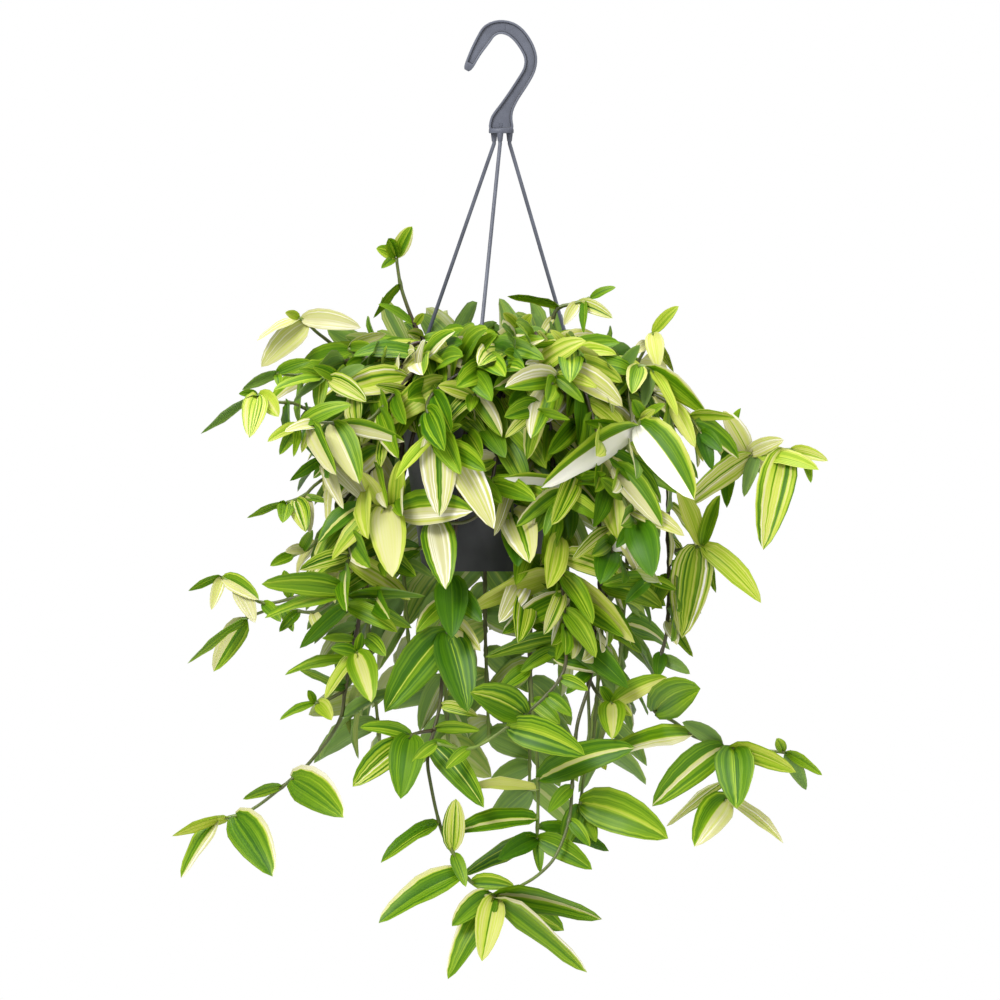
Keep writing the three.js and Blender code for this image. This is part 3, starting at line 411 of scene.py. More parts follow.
web = HOOK_THICKNESS / 2 - HOOK_RECESS
# Painted shade: points where the recess's wall meets the web are marked, and the hook's finish darkens
# them.
crease_shade_points = [0.0] * len(hook_fine.data.vertices)
for edge in hook_fine.data.edges:
    low = [abs(abs(hook_fine.data.vertices[k].co.y) - web * MM) < 1e-6 for k in edge.vertices]
    if low[0] != low[1]:
        crease_shade_points[edge.vertices[0 if low[0] else 1]] = 1.0
set_layer(hook_fine.data, "crease", "FLOAT", crease_shade_points)
round_edges(hook_fine, HOOK_ROUND)
parts = [hook_fine]
plate_middle = (PLATE_TOP - PLATE_THICKNESS / 2) * MM
bpy.ops.mesh.primitive_cylinder_add(
    vertices=PLATE_SIDES,
    radius=PLATE_RADIUS * MM,
    depth=PLATE_THICKNESS * MM,
    location=(PLATE_X * MM, 0, plate_middle),
)
parts.append(bpy.context.object)
for angle in ROD_ANGLES:
    x = PLATE_X + ROD_CIRCLE * math.cos(math.radians(angle))
    y = ROD_CIRCLE * math.sin(math.radians(angle))
    z = PLATE_TOP - PLATE_THICKNESS - (SOCKET_HEIGHT - SOCKET_IN_PLATE) / 2
    bpy.ops.mesh.primitive_cone_add(
        vertices=SOCKET_SIDES,
        radius1=SOCKET_RADII[1] * MM,
        radius2=SOCKET_RADII[0] * MM,
        depth=(SOCKET_HEIGHT + SOCKET_IN_PLATE) * MM,
        location=(x * MM, y * MM, z * MM),
    )
    parts.append(bpy.context.object)
for piece in parts[1:]:
    round_edges(piece, PLATE_ROUND)
for x, z, width, height in MOULD_MARKS:
    bpy.ops.mesh.primitive_cube_add(size=MM, location=(x * MM, 0, z * MM))
    bpy.ops.transform.resize(value=(width, 2 * (web + MARK_RISE), height))
    round_edges(bpy.context.object, MARK_ROUND, 1)
    parts.append(bpy.context.object)
select_only(*parts)
bpy.ops.object.transform_apply()
bpy.ops.object.join()
bpy.ops.object.shade_smooth_by_angle(angle=SHARP)
hook_fine.data.materials.append(hanger_plastic)
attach(hook_fine, "root")
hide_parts("hook")
print("hook:", len(hook_fine.data.polygons), "faces,", sum(crease_shade_points), "points in the crease")

# %% [markdown]
# ## Rods and pot
#
# The rods and the pot have their final shape already, but as flat facets with knife-sharp edges. A mould
# leaves edges slightly round. They could be modelled again from nothing; here a merged copy of each solid
# gets its flat faces joined and smooth shading between them, and the pot a narrow bevel along its sharp
# edges.

# %% Softened copies of the moulded solids
POT_ROUND = 0.4
SAME_PLACE = 0.00001  # metres within which points are one


def softened(name, finish, width):
    mesh = nodes[name].data.copy()
    piece = bpy.data.objects.new(name + "_fine", mesh)
    bpy.context.scene.collection.objects.link(piece)
    select_only(piece)
    bpy.ops.object.mode_set(mode="EDIT")
    bpy.ops.mesh.select_all(action="SELECT")
    bpy.ops.mesh.remove_doubles(threshold=SAME_PLACE)
    bpy.ops.mesh.dissolve_limited(angle_limit=math.radians(0.5))
    bpy.ops.object.mode_set(mode="OBJECT")
    if width:
        round_edges(piece, width)
    bpy.ops.object.shade_smooth_by_angle(angle=SHARP)
    mesh.materials.clear()
    mesh.materials.append(finish)
    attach(piece, "root")
    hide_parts(name)
    print(piece.name, len(mesh.polygons), "faces")


for side in ("front", "right", "left"):
    softened("hanger_rod_" + side, hanger_plastic, 0)
softened("pot", pot_plastic, POT_ROUND)

# %% [markdown]
# ### The leaf
#
# A leaf has two kinds of pattern. Its broad zones, such as one cream half, a pale margin or a green middle,
# are different on every leaf, and its narrow stripes run from the base to the tip and come together at both
# ends. They could be painted, but a rule is enough: the leaf's own UV map gives the place across (0 and 1
# at the margins) and along, each leaf carries its zones as two colour attributes, and noise that is
# stretched along the leaf makes the stripes. One number from 0, deep green, to 1, white, then picks the
# colour from a ramp.

# %% Leaf finish
leaf_finish, tree, surface = new_material("leaf_striped")
uv = add_node(tree, "ShaderNodeUVMap", {"uv_map": "UVMap"}).outputs["UV"]
split = add_node(tree, "ShaderNodeSeparateXYZ", Vector=uv)
across = sums(tree, "MULTIPLY_ADD", split.outputs["X"], 2.0, -1.0)
along = split.outputs["Y"]
off_middle = sums(tree, "ABSOLUTE", across)


def painted(attribute):
    node = add_node(tree, "ShaderNodeAttribute", {"attribute_name": attribute})
    parts = add_node(tree, "ShaderNodeSeparateColor", Color=node.outputs["Color"])
    return [*parts.outputs, node.outputs["Alpha"]]


left_tone, right_tone, left_margin, right_margin = painted("zones")
middle_tone, middle_width, stripes, seed = painted("lines")
under = add_node(tree, "ShaderNodeAttribute", {"attribute_name": "under"}).outputs["Fac"]


def smooth(value, start, end):
    node = add_node(tree, "ShaderNodeMapRange", {"interpolation_type": "SMOOTHSTEP"}, Value=value)
    feed(tree, start, node.inputs["From Min"])
    feed(tree, end, node.inputs["From Max"])
    return node.outputs["Result"]


def mixed(share, first, second):
    node = add_node(tree, "ShaderNodeMix", {"data_type": "FLOAT"}, _0=share, _2=first, _3=second)
    return node.outputs[0]


def stretched(crosswise, lengthwise, detail):
    wander = sums(tree, "MULTIPLY_ADD", seed, 47.0, 3.0)
    vector = add_node(
        tree,
        "ShaderNodeCombineXYZ",
        X=sums(tree, "MULTIPLY", across, crosswise),
        Y=sums(tree, "MULTIPLY", along, lengthwise),
        Z=wander,
    )
    return noise(tree, vector.outputs[0], 1.0, detail)


one_side = smooth(across, -0.05, 0.05)
side_tone = mixed(one_side, right_tone, left_tone)
margin = mixed(one_side, right_margin, left_margin)
wavy = sums(tree, "MULTIPLY_ADD", stretched(2.0, 2.2, 1.0), 0.34, off_middle)
edge_zone = smooth(wavy, 0.82, 0.96)
tone = mixed(sums(tree, "MULTIPLY", edge_zone, margin), side_tone, 0.86)
inner = sums(tree, "SUBTRACT", middle_width, sums(tree, "MULTIPLY", stretched(3.0, 1.5, 1.0), 0.08))
outside = smooth(sums(tree, "SUBTRACT", off_middle, inner), -0.04, 0.05)
tone = mixed(outside, middle_tone, tone)
broad = sums(tree, "MULTIPLY_ADD", stretched(5.5, 0.4, 1.0), 2.0, -1.0)
tone = sums(tree, "ADD", tone, sums(tree, "MULTIPLY", stripes, sums(tree, "MULTIPLY", broad, 1.8)))
# Narrow lines are pale on a green zone and green on a pale one.
line = smooth(stretched(7.5, 0.3, 1.0), 0.52, 0.66)
sign = sums(tree, "MULTIPLY_ADD", smooth(tone, 0.56, 0.76), -2.0, 1.0)
strength = sums(tree, "MULTIPLY_ADD", stripes, 0.34, 0.06)
tone = sums(tree, "ADD", tone, sums(tree, "MULTIPLY", sums(tree, "MULTIPLY", line, sign), strength))
thread = sums(tree, "MULTIPLY_ADD", stretched(14.0, 0.5, 1.0), 0.24, -0.12)
tone = sums(tree, "ADD", tone, thread)
tone = sums(tree, "ADD", tone, sums(tree, "MULTIPLY_ADD", along, 0.08, -0.04))
leaf_colour = ramp(
    tree,
    tone,
    [
        (0.0, rgb(38, 80, 3)),
        (0.18, rgb(64, 106, 4)),
        (0.34, rgb(110, 144, 18)),
        (0.48, rgb(155, 175, 44)),
        (0.6, rgb(178, 185, 78)),
        (0.72, rgb(186, 187, 112)),
        (0.86, rgb(190, 187, 140)),
        (1.0, rgb(240, 238, 220)),
    ],
)
shaded = blend(tree, sums(tree, "MULTIPLY", under, 0.5), leaf_colour, rgb(118, 142, 84))
tree.links.new(shaded, surface.inputs["Base Color"])
surface.inputs["Roughness"].default_value = 0.42
surface.inputs["Specular IOR Level"].default_value = 0.16
surface.inputs["Subsurface Weight"].default_value = 0.12
surface.inputs["Subsurface Scale"].default_value = 0.004
surface.inputs["Subsurface Radius"].default_value = (0.6, 0.9, 0.25)
veins = sums(tree, "SINE", sums(tree, "MULTIPLY", across, 19.0))
relief = sums(tree, "MULTIPLY_ADD", veins, 0.06, stretched(5.0, 2.0, 1.0))
set_bump(tree, surface, relief, 0.16, 0.0006)
print("leaf finish:", len(tree.nodes), "nodes")

# %% [markdown]
# ### The stem
#
# A young stem is green and juicy, and an old one dull red-brown, with fine dark streaks. Each stem carries
# its age as an attribute, 0 at the root and 1 at the tip, and the colour goes with it.

# %% Stem finish
stem_finish, tree, surface = new_material("stem_green")
age = add_node(tree, "ShaderNodeAttribute", {"attribute_name": "age"}).outputs["Fac"]
place = add_node(tree, "ShaderNodeTexCoord").outputs["Object"]
speckle = noise(tree, place, 420.0, 3.0)
drift = sums(tree, "MULTIPLY_ADD", noise(tree, place, 26.0), 0.5, sums(tree, "ADD", age, -0.28))
skin = ramp(
    tree,
    drift,
    [(0.25, rgb(50, 33, 29)), (0.55, rgb(64, 54, 33)), (0.8, rgb(84, 98, 36)), (1.0, rgb(120, 146, 50))],
)
streaked = blend(tree, sums(tree, "MULTIPLY", speckle, 0.35), skin, rgb(60, 48, 30))
tree.links.new(streaked, surface.inputs["Base Color"])
surface.inputs["Roughness"].default_value = 0.4
surface.inputs["Subsurface Weight"].default_value = 0.08
surface.inputs["Subsurface Scale"].default_value = 0.002
set_bump(tree, surface, speckle, 0.3, 0.0005)
print("stem finish:", len(tree.nodes), "nodes")

# %% [markdown]
# ## Stems and leaves
#
# A trailing stem comes out of the soil, lies over the rim and hangs, with a leaf at every joint, left and
# right in turn. One long leaf could be drawn again and again, but no two hang alike, so the photograph was
# measured. Each entry below holds a stem's depths in mm, one letter for each leaf's pattern, the stem's
# route in pixels, and each leaf's base, tip and width. Branches and their leaves may follow. The same
# numbers made the solids, so the finer leaves land where the plain blades are.

# %% The stems measured on the photograph
STEMS = {}


def stem(name, depths, patterns, route, leaves, branches=(), branch_leaves=()):
    STEMS[name] = (depths, route, [*leaves, *branch_leaves], patterns, branches)


stem("a", (-20, -38), "wccy", [(348, 352), (319, 334), (306, 322), (299, 318)], [
    (302, 317, 361, 328, 22), (300, 319, 257, 341, 8), (306, 325, 261, 367, 28), (299, 318, 285, 313, 10),
])
stem("b", (-46, -60), "ugg", [(330, 364), (300, 375), (276, 373)], [
    (280, 372, 242, 390, 12), (276, 374, 311, 361, 13), (277, 375, 280, 388, 9),
])
stem("c", (-70, -84), "usyg", [(340, 405), (308, 409), (293, 403), (277, 402), (258, 395)], [
    (248, 398, 201, 434, 10), (250, 399, 250, 438, 27), (262, 388, 279, 417, 22), (258, 394, 239, 394, 9),
])
stem("d", (-90, -104), "sgyuggugd", [(372, 390), (340, 380), (322, 378)], [
    (328, 381, 367, 402, 22), (320, 385, 318, 411, 16), (325, 378, 301, 383, 9), (324, 385, 294, 403, 9),
    (324, 366, 299, 370, 10), (300, 378, 274, 391, 10), (338, 375, 365, 366, 12),
    (339, 378, 313, 367, 14), (367, 401, 319, 406, 20),
])
stem("e", (-112, -126), "gygcgyll", [(372, 418), (350, 425), (328, 423), (300, 425)], [
    (298, 422, 352, 405, 18), (300, 425, 268, 442, 12), (285, 432, 280, 455, 14),
    (324, 424, 285, 432, 12), (299, 435, 294, 457, 9), (317, 430, 302, 453, 10), (333, 424, 360, 484, 32),
    (342, 424, 405, 442, 18),
])
stem("f", (-4, -4), "mgggggysg", [(424, 345), (415, 326), (405, 300), (400, 283), (396, 257)], [
    (398, 256, 412, 226, 18), (396, 256, 388, 238, 16), (395, 256, 376, 248, 14), (394, 257, 381, 268, 9),
    (400, 284, 373, 318, 9), (413, 325, 378, 304, 9), (415, 325, 424, 313, 9), (418, 340, 407, 333, 14),
    (424, 338, 459, 338, 10),
])
stem("g", (-28, -44), "gcgg", [(424, 356), (400, 355), (368, 360), (348, 348)], [
    (345, 350, 372, 346, 12), (345, 344, 386, 334, 12), (366, 358, 346, 366, 12),
    (400, 355, 384, 376, 14),
])
stem("h", (-30, -44), "yddg", [(478, 384), (476, 372), (473, 360)], [
    (473, 360, 470, 328, 25), (450, 378, 455, 340, 22), (474, 372, 490, 388, 12),
    (474, 372, 448, 368, 14),
])
stem("i", (-26, -46), "cywy", [(520, 352), (518, 340), (518, 328)], [
    (515, 332, 487, 360, 25), (522, 322, 503, 313, 12), (538, 340, 505, 345, 12),
    (519, 332, 532, 314, 12),
])
stem("j", (-96, -112), "ysrg", [(480, 384), (476, 390), (473, 396)], [
    (468, 395, 438, 386, 18), (472, 393, 440, 430, 15), (476, 395, 502, 437, 20),
    (474, 396, 470, 412, 14),
])
stem("k", (-74, -96), "gtstt", [(442, 384), (432, 394), (415, 396)], [
    (438, 430, 408, 400, 30), (415, 398, 437, 365, 22), (408, 378, 375, 385, 12),
    (415, 396, 362, 403, 14), (432, 400, 488, 440, 28),
])
stem("l", (-66, -80), "rtyy", [(580, 362), (570, 350)], [
    (570, 350, 507, 356, 18), (570, 352, 570, 383, 27), (568, 350, 550, 330, 10),
    (571, 352, 566, 333, 10),
])
stem("m", (-88, -104), "mgyl", [(562, 366), (555, 377)], [
    (560, 377, 515, 384, 14), (556, 380, 584, 403, 14), (562, 378, 597, 388, 14),
    (528, 366, 505, 388, 28),
])
stem("n", (-112, -126), "dlmgs", [(552, 384), (545, 392), (536, 412)], [
    (524, 380, 514, 420, 14), (545, 390, 531, 439, 28), (590, 422, 527, 460, 22),
    (540, 425, 570, 420, 10), (530, 436, 505, 438, 14),
])
stem("o", (-120, -132), "eygc", [(428, 402), (438, 433), (452, 452)], [
    (437, 433, 440, 517, 40), (436, 434, 396, 480, 14), (445, 432, 462, 425, 10),
    (457, 448, 494, 529, 33),
])
stem("p", (-108, -116), "ayolby", [(488, 500), (468, 521), (435, 521), (398, 512), (383, 507)], [
    (385, 507, 393, 577, 39), (380, 505, 332, 560, 20), (380, 503, 361, 472, 16),
    (398, 511, 473, 511, 38), (435, 523, 446, 589, 37), (395, 510, 400, 460, 18),
])
stem("q", (-84, -86), "ugg", [(462, 500), (428, 542), (401, 560)], [
    (398, 562, 433, 577, 12), (402, 560, 386, 570, 10), (428, 542, 452, 556, 14),
])
stem("r", (-84, -98), "cwdww", [(374, 440), (350, 448), (332, 455), (322, 462)], [
    (332, 459, 324, 492, 10), (325, 468, 344, 509, 15), (325, 452, 290, 481, 12),
    (330, 462, 369, 504, 22), (362, 450, 400, 500, 28),
])
stem("s", (-62, -76), "ggswg", [(368, 440), (335, 470), (314, 486), (304, 496), (287, 503)], [
    (285, 503, 247, 518, 8), (283, 504, 283, 523, 18), (296, 500, 306, 532, 22), (308, 500, 310, 533, 16),
    (303, 498, 328, 503, 8),
])
stem("t", (-50, -40), "wggw", [(372, 470), (345, 500), (336, 518), (312, 546), (292, 556)], [
    (305, 546, 285, 552, 12), (300, 550, 313, 530, 12), (294, 556, 270, 566, 12),
    (338, 516, 352, 512, 10),
])
stem("u", (-104, -116), "ggdgggsy", [(372, 470), (355, 535), (348, 562), (346, 592), (347, 606)], [
    (346, 590, 262, 584, 26), (343, 598, 265, 618, 14), (340, 606, 300, 648, 17),
    (350, 594, 426, 596, 12), (350, 605, 398, 632, 20), (350, 602, 412, 628, 20),
    (350, 555, 300, 570, 18), (352, 560, 411, 600, 24),
])
stem("v", (-66, -30), "gclwgg", [(352, 560), (330, 588), (300, 596), (263, 603), (240, 588),
    (222, 577)], [
    (222, 572, 188, 591, 9), (220, 578, 211, 610, 13), (224, 576, 259, 600, 20), (236, 587, 255, 623, 20),
    (262, 603, 281, 622, 14), (290, 598, 284, 570, 14),
])
stem("w", (-52, -16), "glgcg", [(356, 560), (320, 610), (275, 607), (262, 612), (246, 618)], [
    (243, 618, 187, 664, 9), (246, 617, 213, 672, 26), (282, 608, 293, 632, 12), (312, 609, 321, 636, 14),
    (300, 609, 279, 632, 12),
])
stem("x", (-84, -64), "udupgpyrggggyg", [(364, 560), (362, 600), (355, 640), (345, 690), (340, 720),
    (310, 762), (282, 787), (247, 812), (212, 821)], [
    (356, 625, 325, 637, 12), (345, 685, 329, 689, 14), (341, 718, 400, 690, 13),
    (292, 778, 344, 817, 42), (282, 786, 243, 799, 12), (235, 813, 273, 876, 42),
    (228, 812, 172, 836, 12), (218, 820, 181, 878, 18), (355, 640, 322, 638, 10),
    (350, 660, 285, 675, 12), (345, 690, 297, 668, 10),
], [
    [(345, 690), (325, 701), (315, 703)],
], [
    (312, 702, 280, 720, 9), (318, 702, 332, 720, 18), (315, 703, 308, 690, 9),
])
stem("y", (-100, -108), "ggzyg", [(384, 560), (372, 600), (365, 640), (357, 653)], [
    (355, 652, 331, 648, 14), (357, 652, 362, 632, 10), (357, 655, 372, 702, 32),
    (354, 655, 325, 699, 14), (368, 637, 386, 656, 17),
])
stem("z", (0, -8), "gsggcc", [(546, 346), (552, 322), (558, 308), (575, 303), (590, 298)], [
    (560, 305, 507, 296, 9), (578, 303, 613, 318, 15), (590, 298, 616, 287, 9), (584, 301, 584, 333, 9),
    (578, 302, 564, 325, 13), (557, 318, 540, 336, 9),
])
stem("aa", (-14, -30), "yvwsgg", [(600, 392), (625, 385), (637, 364), (647, 345), (653, 333)], [
    (652, 333, 679, 306, 13), (656, 334, 658, 369, 20), (648, 343, 634, 354, 12),
    (652, 336, 674, 372, 10), (648, 346, 702, 365, 9), (620, 386, 600, 372, 14),
])
stem("ab", (-44, -60), "oumpyul", [(600, 384), (618, 376), (640, 366), (652, 370)], [
    (606, 380, 572, 346, 24), (618, 376, 640, 345, 14), (640, 368, 632, 394, 22),
    (645, 369, 707, 415, 23), (652, 372, 677, 417, 12), (650, 372, 644, 408, 15),
    (633, 372, 585, 422, 25),
])
stem("ac", (-92, -108), "gcjhggy", [(608, 472), (620, 455), (634, 432), (642, 418)], [
    (632, 434, 583, 422, 14), (636, 428, 597, 446, 14), (636, 426, 541, 488, 30),
    (642, 425, 694, 500, 45), (642, 418, 632, 400, 14), (642, 418, 665, 404, 10),
    (640, 420, 655, 410, 10),
])
stem("ad", (-64, -84), "yyodd", [(648, 392), (672, 404), (690, 418), (700, 432)], [
    (682, 412, 703, 462, 14), (690, 414, 735, 418, 12), (672, 404, 695, 448, 18),
    (700, 432, 722, 452, 16), (700, 432, 712, 470, 16),
])
stem("ae", (-112, -122), "ldgdc", [(600, 440), (614, 465), (624, 500), (636, 524)], [
    (614, 465, 662, 527, 30), (636, 524, 652, 577, 36), (620, 500, 600, 478, 16),
    (636, 524, 616, 548, 14), (628, 508, 684, 536, 20),
])
stem("af", (-110, -124), "ngggj", [(582, 462), (572, 476), (562, 490), (556, 506)], [
    (562, 490, 516, 527, 18), (557, 503, 544, 536, 12), (570, 486, 627, 487, 12),
    (568, 478, 606, 474, 10), (565, 484, 504, 478, 14),
])
stem("ag", (-86, -96), "cedgg", [(518, 460), (513, 480), (512, 504), (514, 520)], [
    (512, 479, 494, 536, 14), (520, 512, 530, 563, 38), (500, 520, 518, 567, 30),
    (513, 500, 548, 506, 14), (512, 470, 480, 474, 12),
])
stem("ah", (-100, -112), "ydhtsdg", [(604, 462), (611, 487), (612, 520), (612, 552), (650, 580)], [
    (611, 487, 618, 539, 34), (612, 552, 600, 584, 30), (575, 548, 627, 534, 26),
    (652, 578, 602, 585, 18), (612, 528, 572, 560, 16), (650, 580, 625, 603, 14),
    (650, 578, 676, 590, 12),
])
stem("ai", (-78, -88), "ovngtdgngsy", [(566, 500), (563, 545), (562, 575), (568, 599), (566, 635),
    (552, 655)], [
    (562, 573, 468, 610, 25), (563, 575, 635, 643, 26), (564, 598, 502, 634, 26),
    (568, 600, 624, 637, 20), (563, 634, 485, 657, 18), (568, 638, 628, 688, 30),
    (565, 636, 556, 660, 12), (552, 655, 609, 672, 24), (556, 650, 520, 672, 16),
    (563, 540, 540, 566, 16), (563, 530, 580, 564, 14),
])
stem("aj", (-98, -126), "ddttttsgtnnnyptksggggs", [(452, 560), (450, 600), (446, 640), (442, 680),
    (440, 705), (434, 730), (428, 755), (429, 774), (442, 831), (455, 855), (470, 880), (495, 896)], [
    (449, 578, 452, 638, 36), (450, 590, 482, 622, 24), (446, 632, 385, 712, 43),
    (446, 631, 468, 712, 42), (431, 742, 484, 807, 30), (440, 822, 381, 862, 16),
    (453, 850, 456, 798, 24), (455, 852, 466, 886, 15), (472, 880, 515, 886, 18),
    (463, 872, 379, 922, 28), (490, 893, 452, 925, 25), (495, 900, 448, 978, 30),
    (495, 900, 482, 960, 30), (495, 897, 587, 971, 24), (495, 896, 564, 930, 32),
    (495, 886, 602, 918, 26), (440, 705, 478, 716, 14), (434, 728, 480, 730, 14),
    (450, 570, 430, 548, 14),
], [
    [(434, 730), (420, 732), (412, 735), (404, 742)],
], [
    (411, 733, 360, 727, 16), (412, 738, 401, 798, 38), (404, 744, 353, 786, 30),
])
stem("ak", (-120, -134), "ttgggg", [(566, 652), (560, 678), (530, 710), (507, 727), (470, 748),
    (437, 743)], [
    (524, 714, 470, 692, 38), (507, 727, 585, 755, 36), (437, 743, 412, 762, 14),
    (470, 748, 446, 768, 14), (545, 694, 572, 716, 16), (560, 678, 588, 690, 14),
])
stem("al", (-84, -100), "kktgdgdvgg", [(526, 600), (529, 650), (532, 700), (537, 758), (538, 800),
    (537, 838)], [
    (538, 779, 635, 747, 35), (535, 819, 447, 835, 22), (535, 837, 462, 875, 20),
    (540, 838, 592, 869, 25), (540, 828, 609, 851, 18), (537, 838, 540, 872, 12),
    (538, 838, 498, 859, 22), (536, 790, 460, 790, 12), (530, 668, 500, 690, 18),
    (531, 700, 560, 724, 18),
])
stem("am", (-70, -128), "gygdg", [(600, 590), (596, 620), (590, 680), (577, 726), (572, 786), (569, 819),
    (555, 856), (537, 875), (517, 887)], [
    (572, 786, 548, 812, 16), (575, 740, 550, 760, 14), (569, 819, 590, 846, 14),
    (590, 670, 566, 694, 14), (596, 620, 572, 640, 14),
])
stem("an", (-56, -92), "ggygizyg", [(606, 600), (592, 640), (588, 677), (589, 734), (583, 782),
    (580, 805)], [
    (578, 802, 668, 838, 45), (580, 805, 562, 850, 22), (588, 740, 606, 770, 16),
    (580, 805, 596, 842, 18),
], [
    [(588, 677), (600, 697), (612, 703)],
], [
    (614, 702, 667, 677, 22), (614, 703, 612, 739, 29), (612, 703, 632, 716, 12),
    (612, 702, 600, 686, 12),
])
stem("ao", (-40, -88), "gdurkytgugugcgsrcsyyggyg", [(664, 470), (668, 540), (669, 562), (667, 630),
    (659, 662), (650, 704), (676, 723), (694, 736), (725, 747), (760, 750), (785, 752)], [
    (662, 702, 700, 688, 42), (638, 647, 657, 678, 16), (660, 658, 690, 674, 14),
    (692, 735, 603, 757, 22), (723, 747, 652, 806, 36), (729, 748, 796, 772, 22),
    (733, 750, 736, 808, 42), (785, 752, 822, 775, 12), (785, 756, 806, 790, 17),
    (783, 752, 776, 738, 12), (722, 745, 682, 722, 18), (667, 622, 693, 657, 12),
    (667, 620, 677, 645, 16), (667, 575, 652, 610, 18),
], [
    [(725, 747), (722, 772), (726, 799)],
    [(668, 552), (684, 549), (702, 546)],
], [
    (718, 782, 666, 826, 12), (726, 799, 694, 846, 36), (728, 799, 783, 843, 14),
    (697, 549, 682, 638, 44), (703, 546, 761, 603, 25), (701, 546, 676, 485, 20),
    (702, 544, 720, 495, 16), (702, 548, 716, 593, 12), (703, 550, 719, 646, 22),
    (699, 552, 742, 671, 14),
])
stem("ap", (-30, -56), "scgcysgusdg", [(672, 424), (700, 430), (730, 448), (752, 455), (790, 450),
    (805, 455)], [
    (752, 455, 682, 508, 26), (750, 451, 723, 411, 22), (728, 440, 741, 408, 10),
    (748, 452, 784, 440, 18), (757, 455, 819, 470, 18), (790, 450, 828, 461, 14),
    (804, 456, 811, 483, 10), (757, 456, 744, 497, 15), (785, 452, 763, 550, 40),
    (730, 448, 727, 508, 18), (752, 456, 754, 566, 16),
])

front_leaves = sum(len(entry[2]) for entry in STEMS.values())
print(len(STEMS), "stems on the photograph with", front_leaves, "leaves")

# %% Pixels into millimetres
POT_X = -9.0
RIM_Z = -276.0
RIM_RADIUS = 75.0
SOIL_BELOW_RIM = 14.0
BRANCH_OUT = 10.0
UP = Vector((0, 0, 1))
TO_VIEWER = Vector((0, -1, 0))


def on_view(x, y, depth):
    return Vector(((x - SEAT_PIXEL[0]) * MM_PER_PIXEL, depth, (SEAT_PIXEL[1] - y) * MM_PER_PIXEL))


def around_pot(angle, radius, height):
    turn = math.radians(angle)
    return Vector((POT_X + radius * math.cos(turn), radius * math.sin(turn), height))


def azimuth(point):
    return math.degrees(math.atan2(point.y, point.x - POT_X))


def wobble(seed):
    value = math.sin(seed * 12.9898) * 43758.5453
    return value - math.floor(value)


def between(least_and_more, share):
    least, more = least_and_more
    return least + more * share


def visible_route(pixels, near, far):
    points = [on_view(x, y, 0.0) for x, y in pixels]
    lengths = [0.0]
    for first, second in zip(points, points[1:]):
        lengths.append(lengths[-1] + (second - first).length)
    for point, length in zip(points, lengths):
        point.y = near + (far - near) * length / lengths[-1]
    return points


def nearest_on(routes, x, z):
    best = None
    for route in routes:
        for first, second in zip(route, route[1:]):
            run = second - first
            share = ((x - first.x) * run.x + (z - first.z) * run.z) / (run.x**2 + run.z**2)
            point = first + run * min(1, max(0, share))
            away = math.hypot(point.x - x, point.z - z)
            if best is None or away < best[0]:
                best = (away, point)
    return best[1]


print("one pixel is", MM_PER_PIXEL, "mm")

# %% Every stem's visible route and its leaves
BLADE_ASPECT = 0.45
BACK_FROM = 8.0
BACK_TO = 172.0
BACK_OUT = 112.0  # how far from the axis the stems hang, at least
BACK_OUT_MORE = 8
BACK_SWING = 10
BACK_START = (-14, 2)  # where a stem starts: farther out than it hangs, and below the rim
BACK_COURSE = ((0, 0.2), (-4, 0.6), (-10, 1))  # the same farther down, as shares of its drop
BACK_NODE = 48.0
BACK_FIRST = 0.9
BACK_LEAF = 68.0
BACK_SIZES = (0.8, 0.35)  # the least share of that, and how much may be added
BACK_SLIM = 0.9
BACK_ASIDE = 0.62
BACK_OUTWARD = 0.4
BACK_FALL = (0.25, 0.5)
BACK_DROPS = (250, 300, 210, 330, 290, 300, 230, 290, 270)
BACK_PATTERNS = "gtdkpsgcgyl"


def front_plant(name, depths, pixels, leaves, patterns, branches):
    main = visible_route(pixels, *depths)
    routes = [main]
    for branch in branches:
        start = on_view(*branch[0], 0.0)
        depth = nearest_on([main], start.x, start.z).y
        routes.append(visible_route(branch, depth, depth - BRANCH_OUT))
    made = []
    for k, (base_x, base_y, tip_x, tip_y, width) in enumerate(leaves):
        seat = on_view(base_x, base_y, 0.0)
        made.append(
            {
                "base": nearest_on(routes, seat.x, seat.z),
                "tip": on_view(tip_x, tip_y, 0.0),
                "width": width * MM_PER_PIXEL,
                "outward": TO_VIEWER,
                "roll": 1 if k % 2 == 0 else -1,
                "pattern": patterns[k],
            }
        )
    return {"name": "stem_" + name, "routes": routes, "leaves": made}


def place_along(points, share):
    lengths = [0.0]
    for first, second in zip(points, points[1:]):
        lengths.append(lengths[-1] + (second - first).length)
    wanted = share * lengths[-1]
    for k in range(1, len(points)):
        if wanted <= lengths[k] or k == len(points) - 1:
            part = (wanted - lengths[k - 1]) / (lengths[k] - lengths[k - 1])
            return points[k - 1].lerp(points[k], part), lengths[-1]


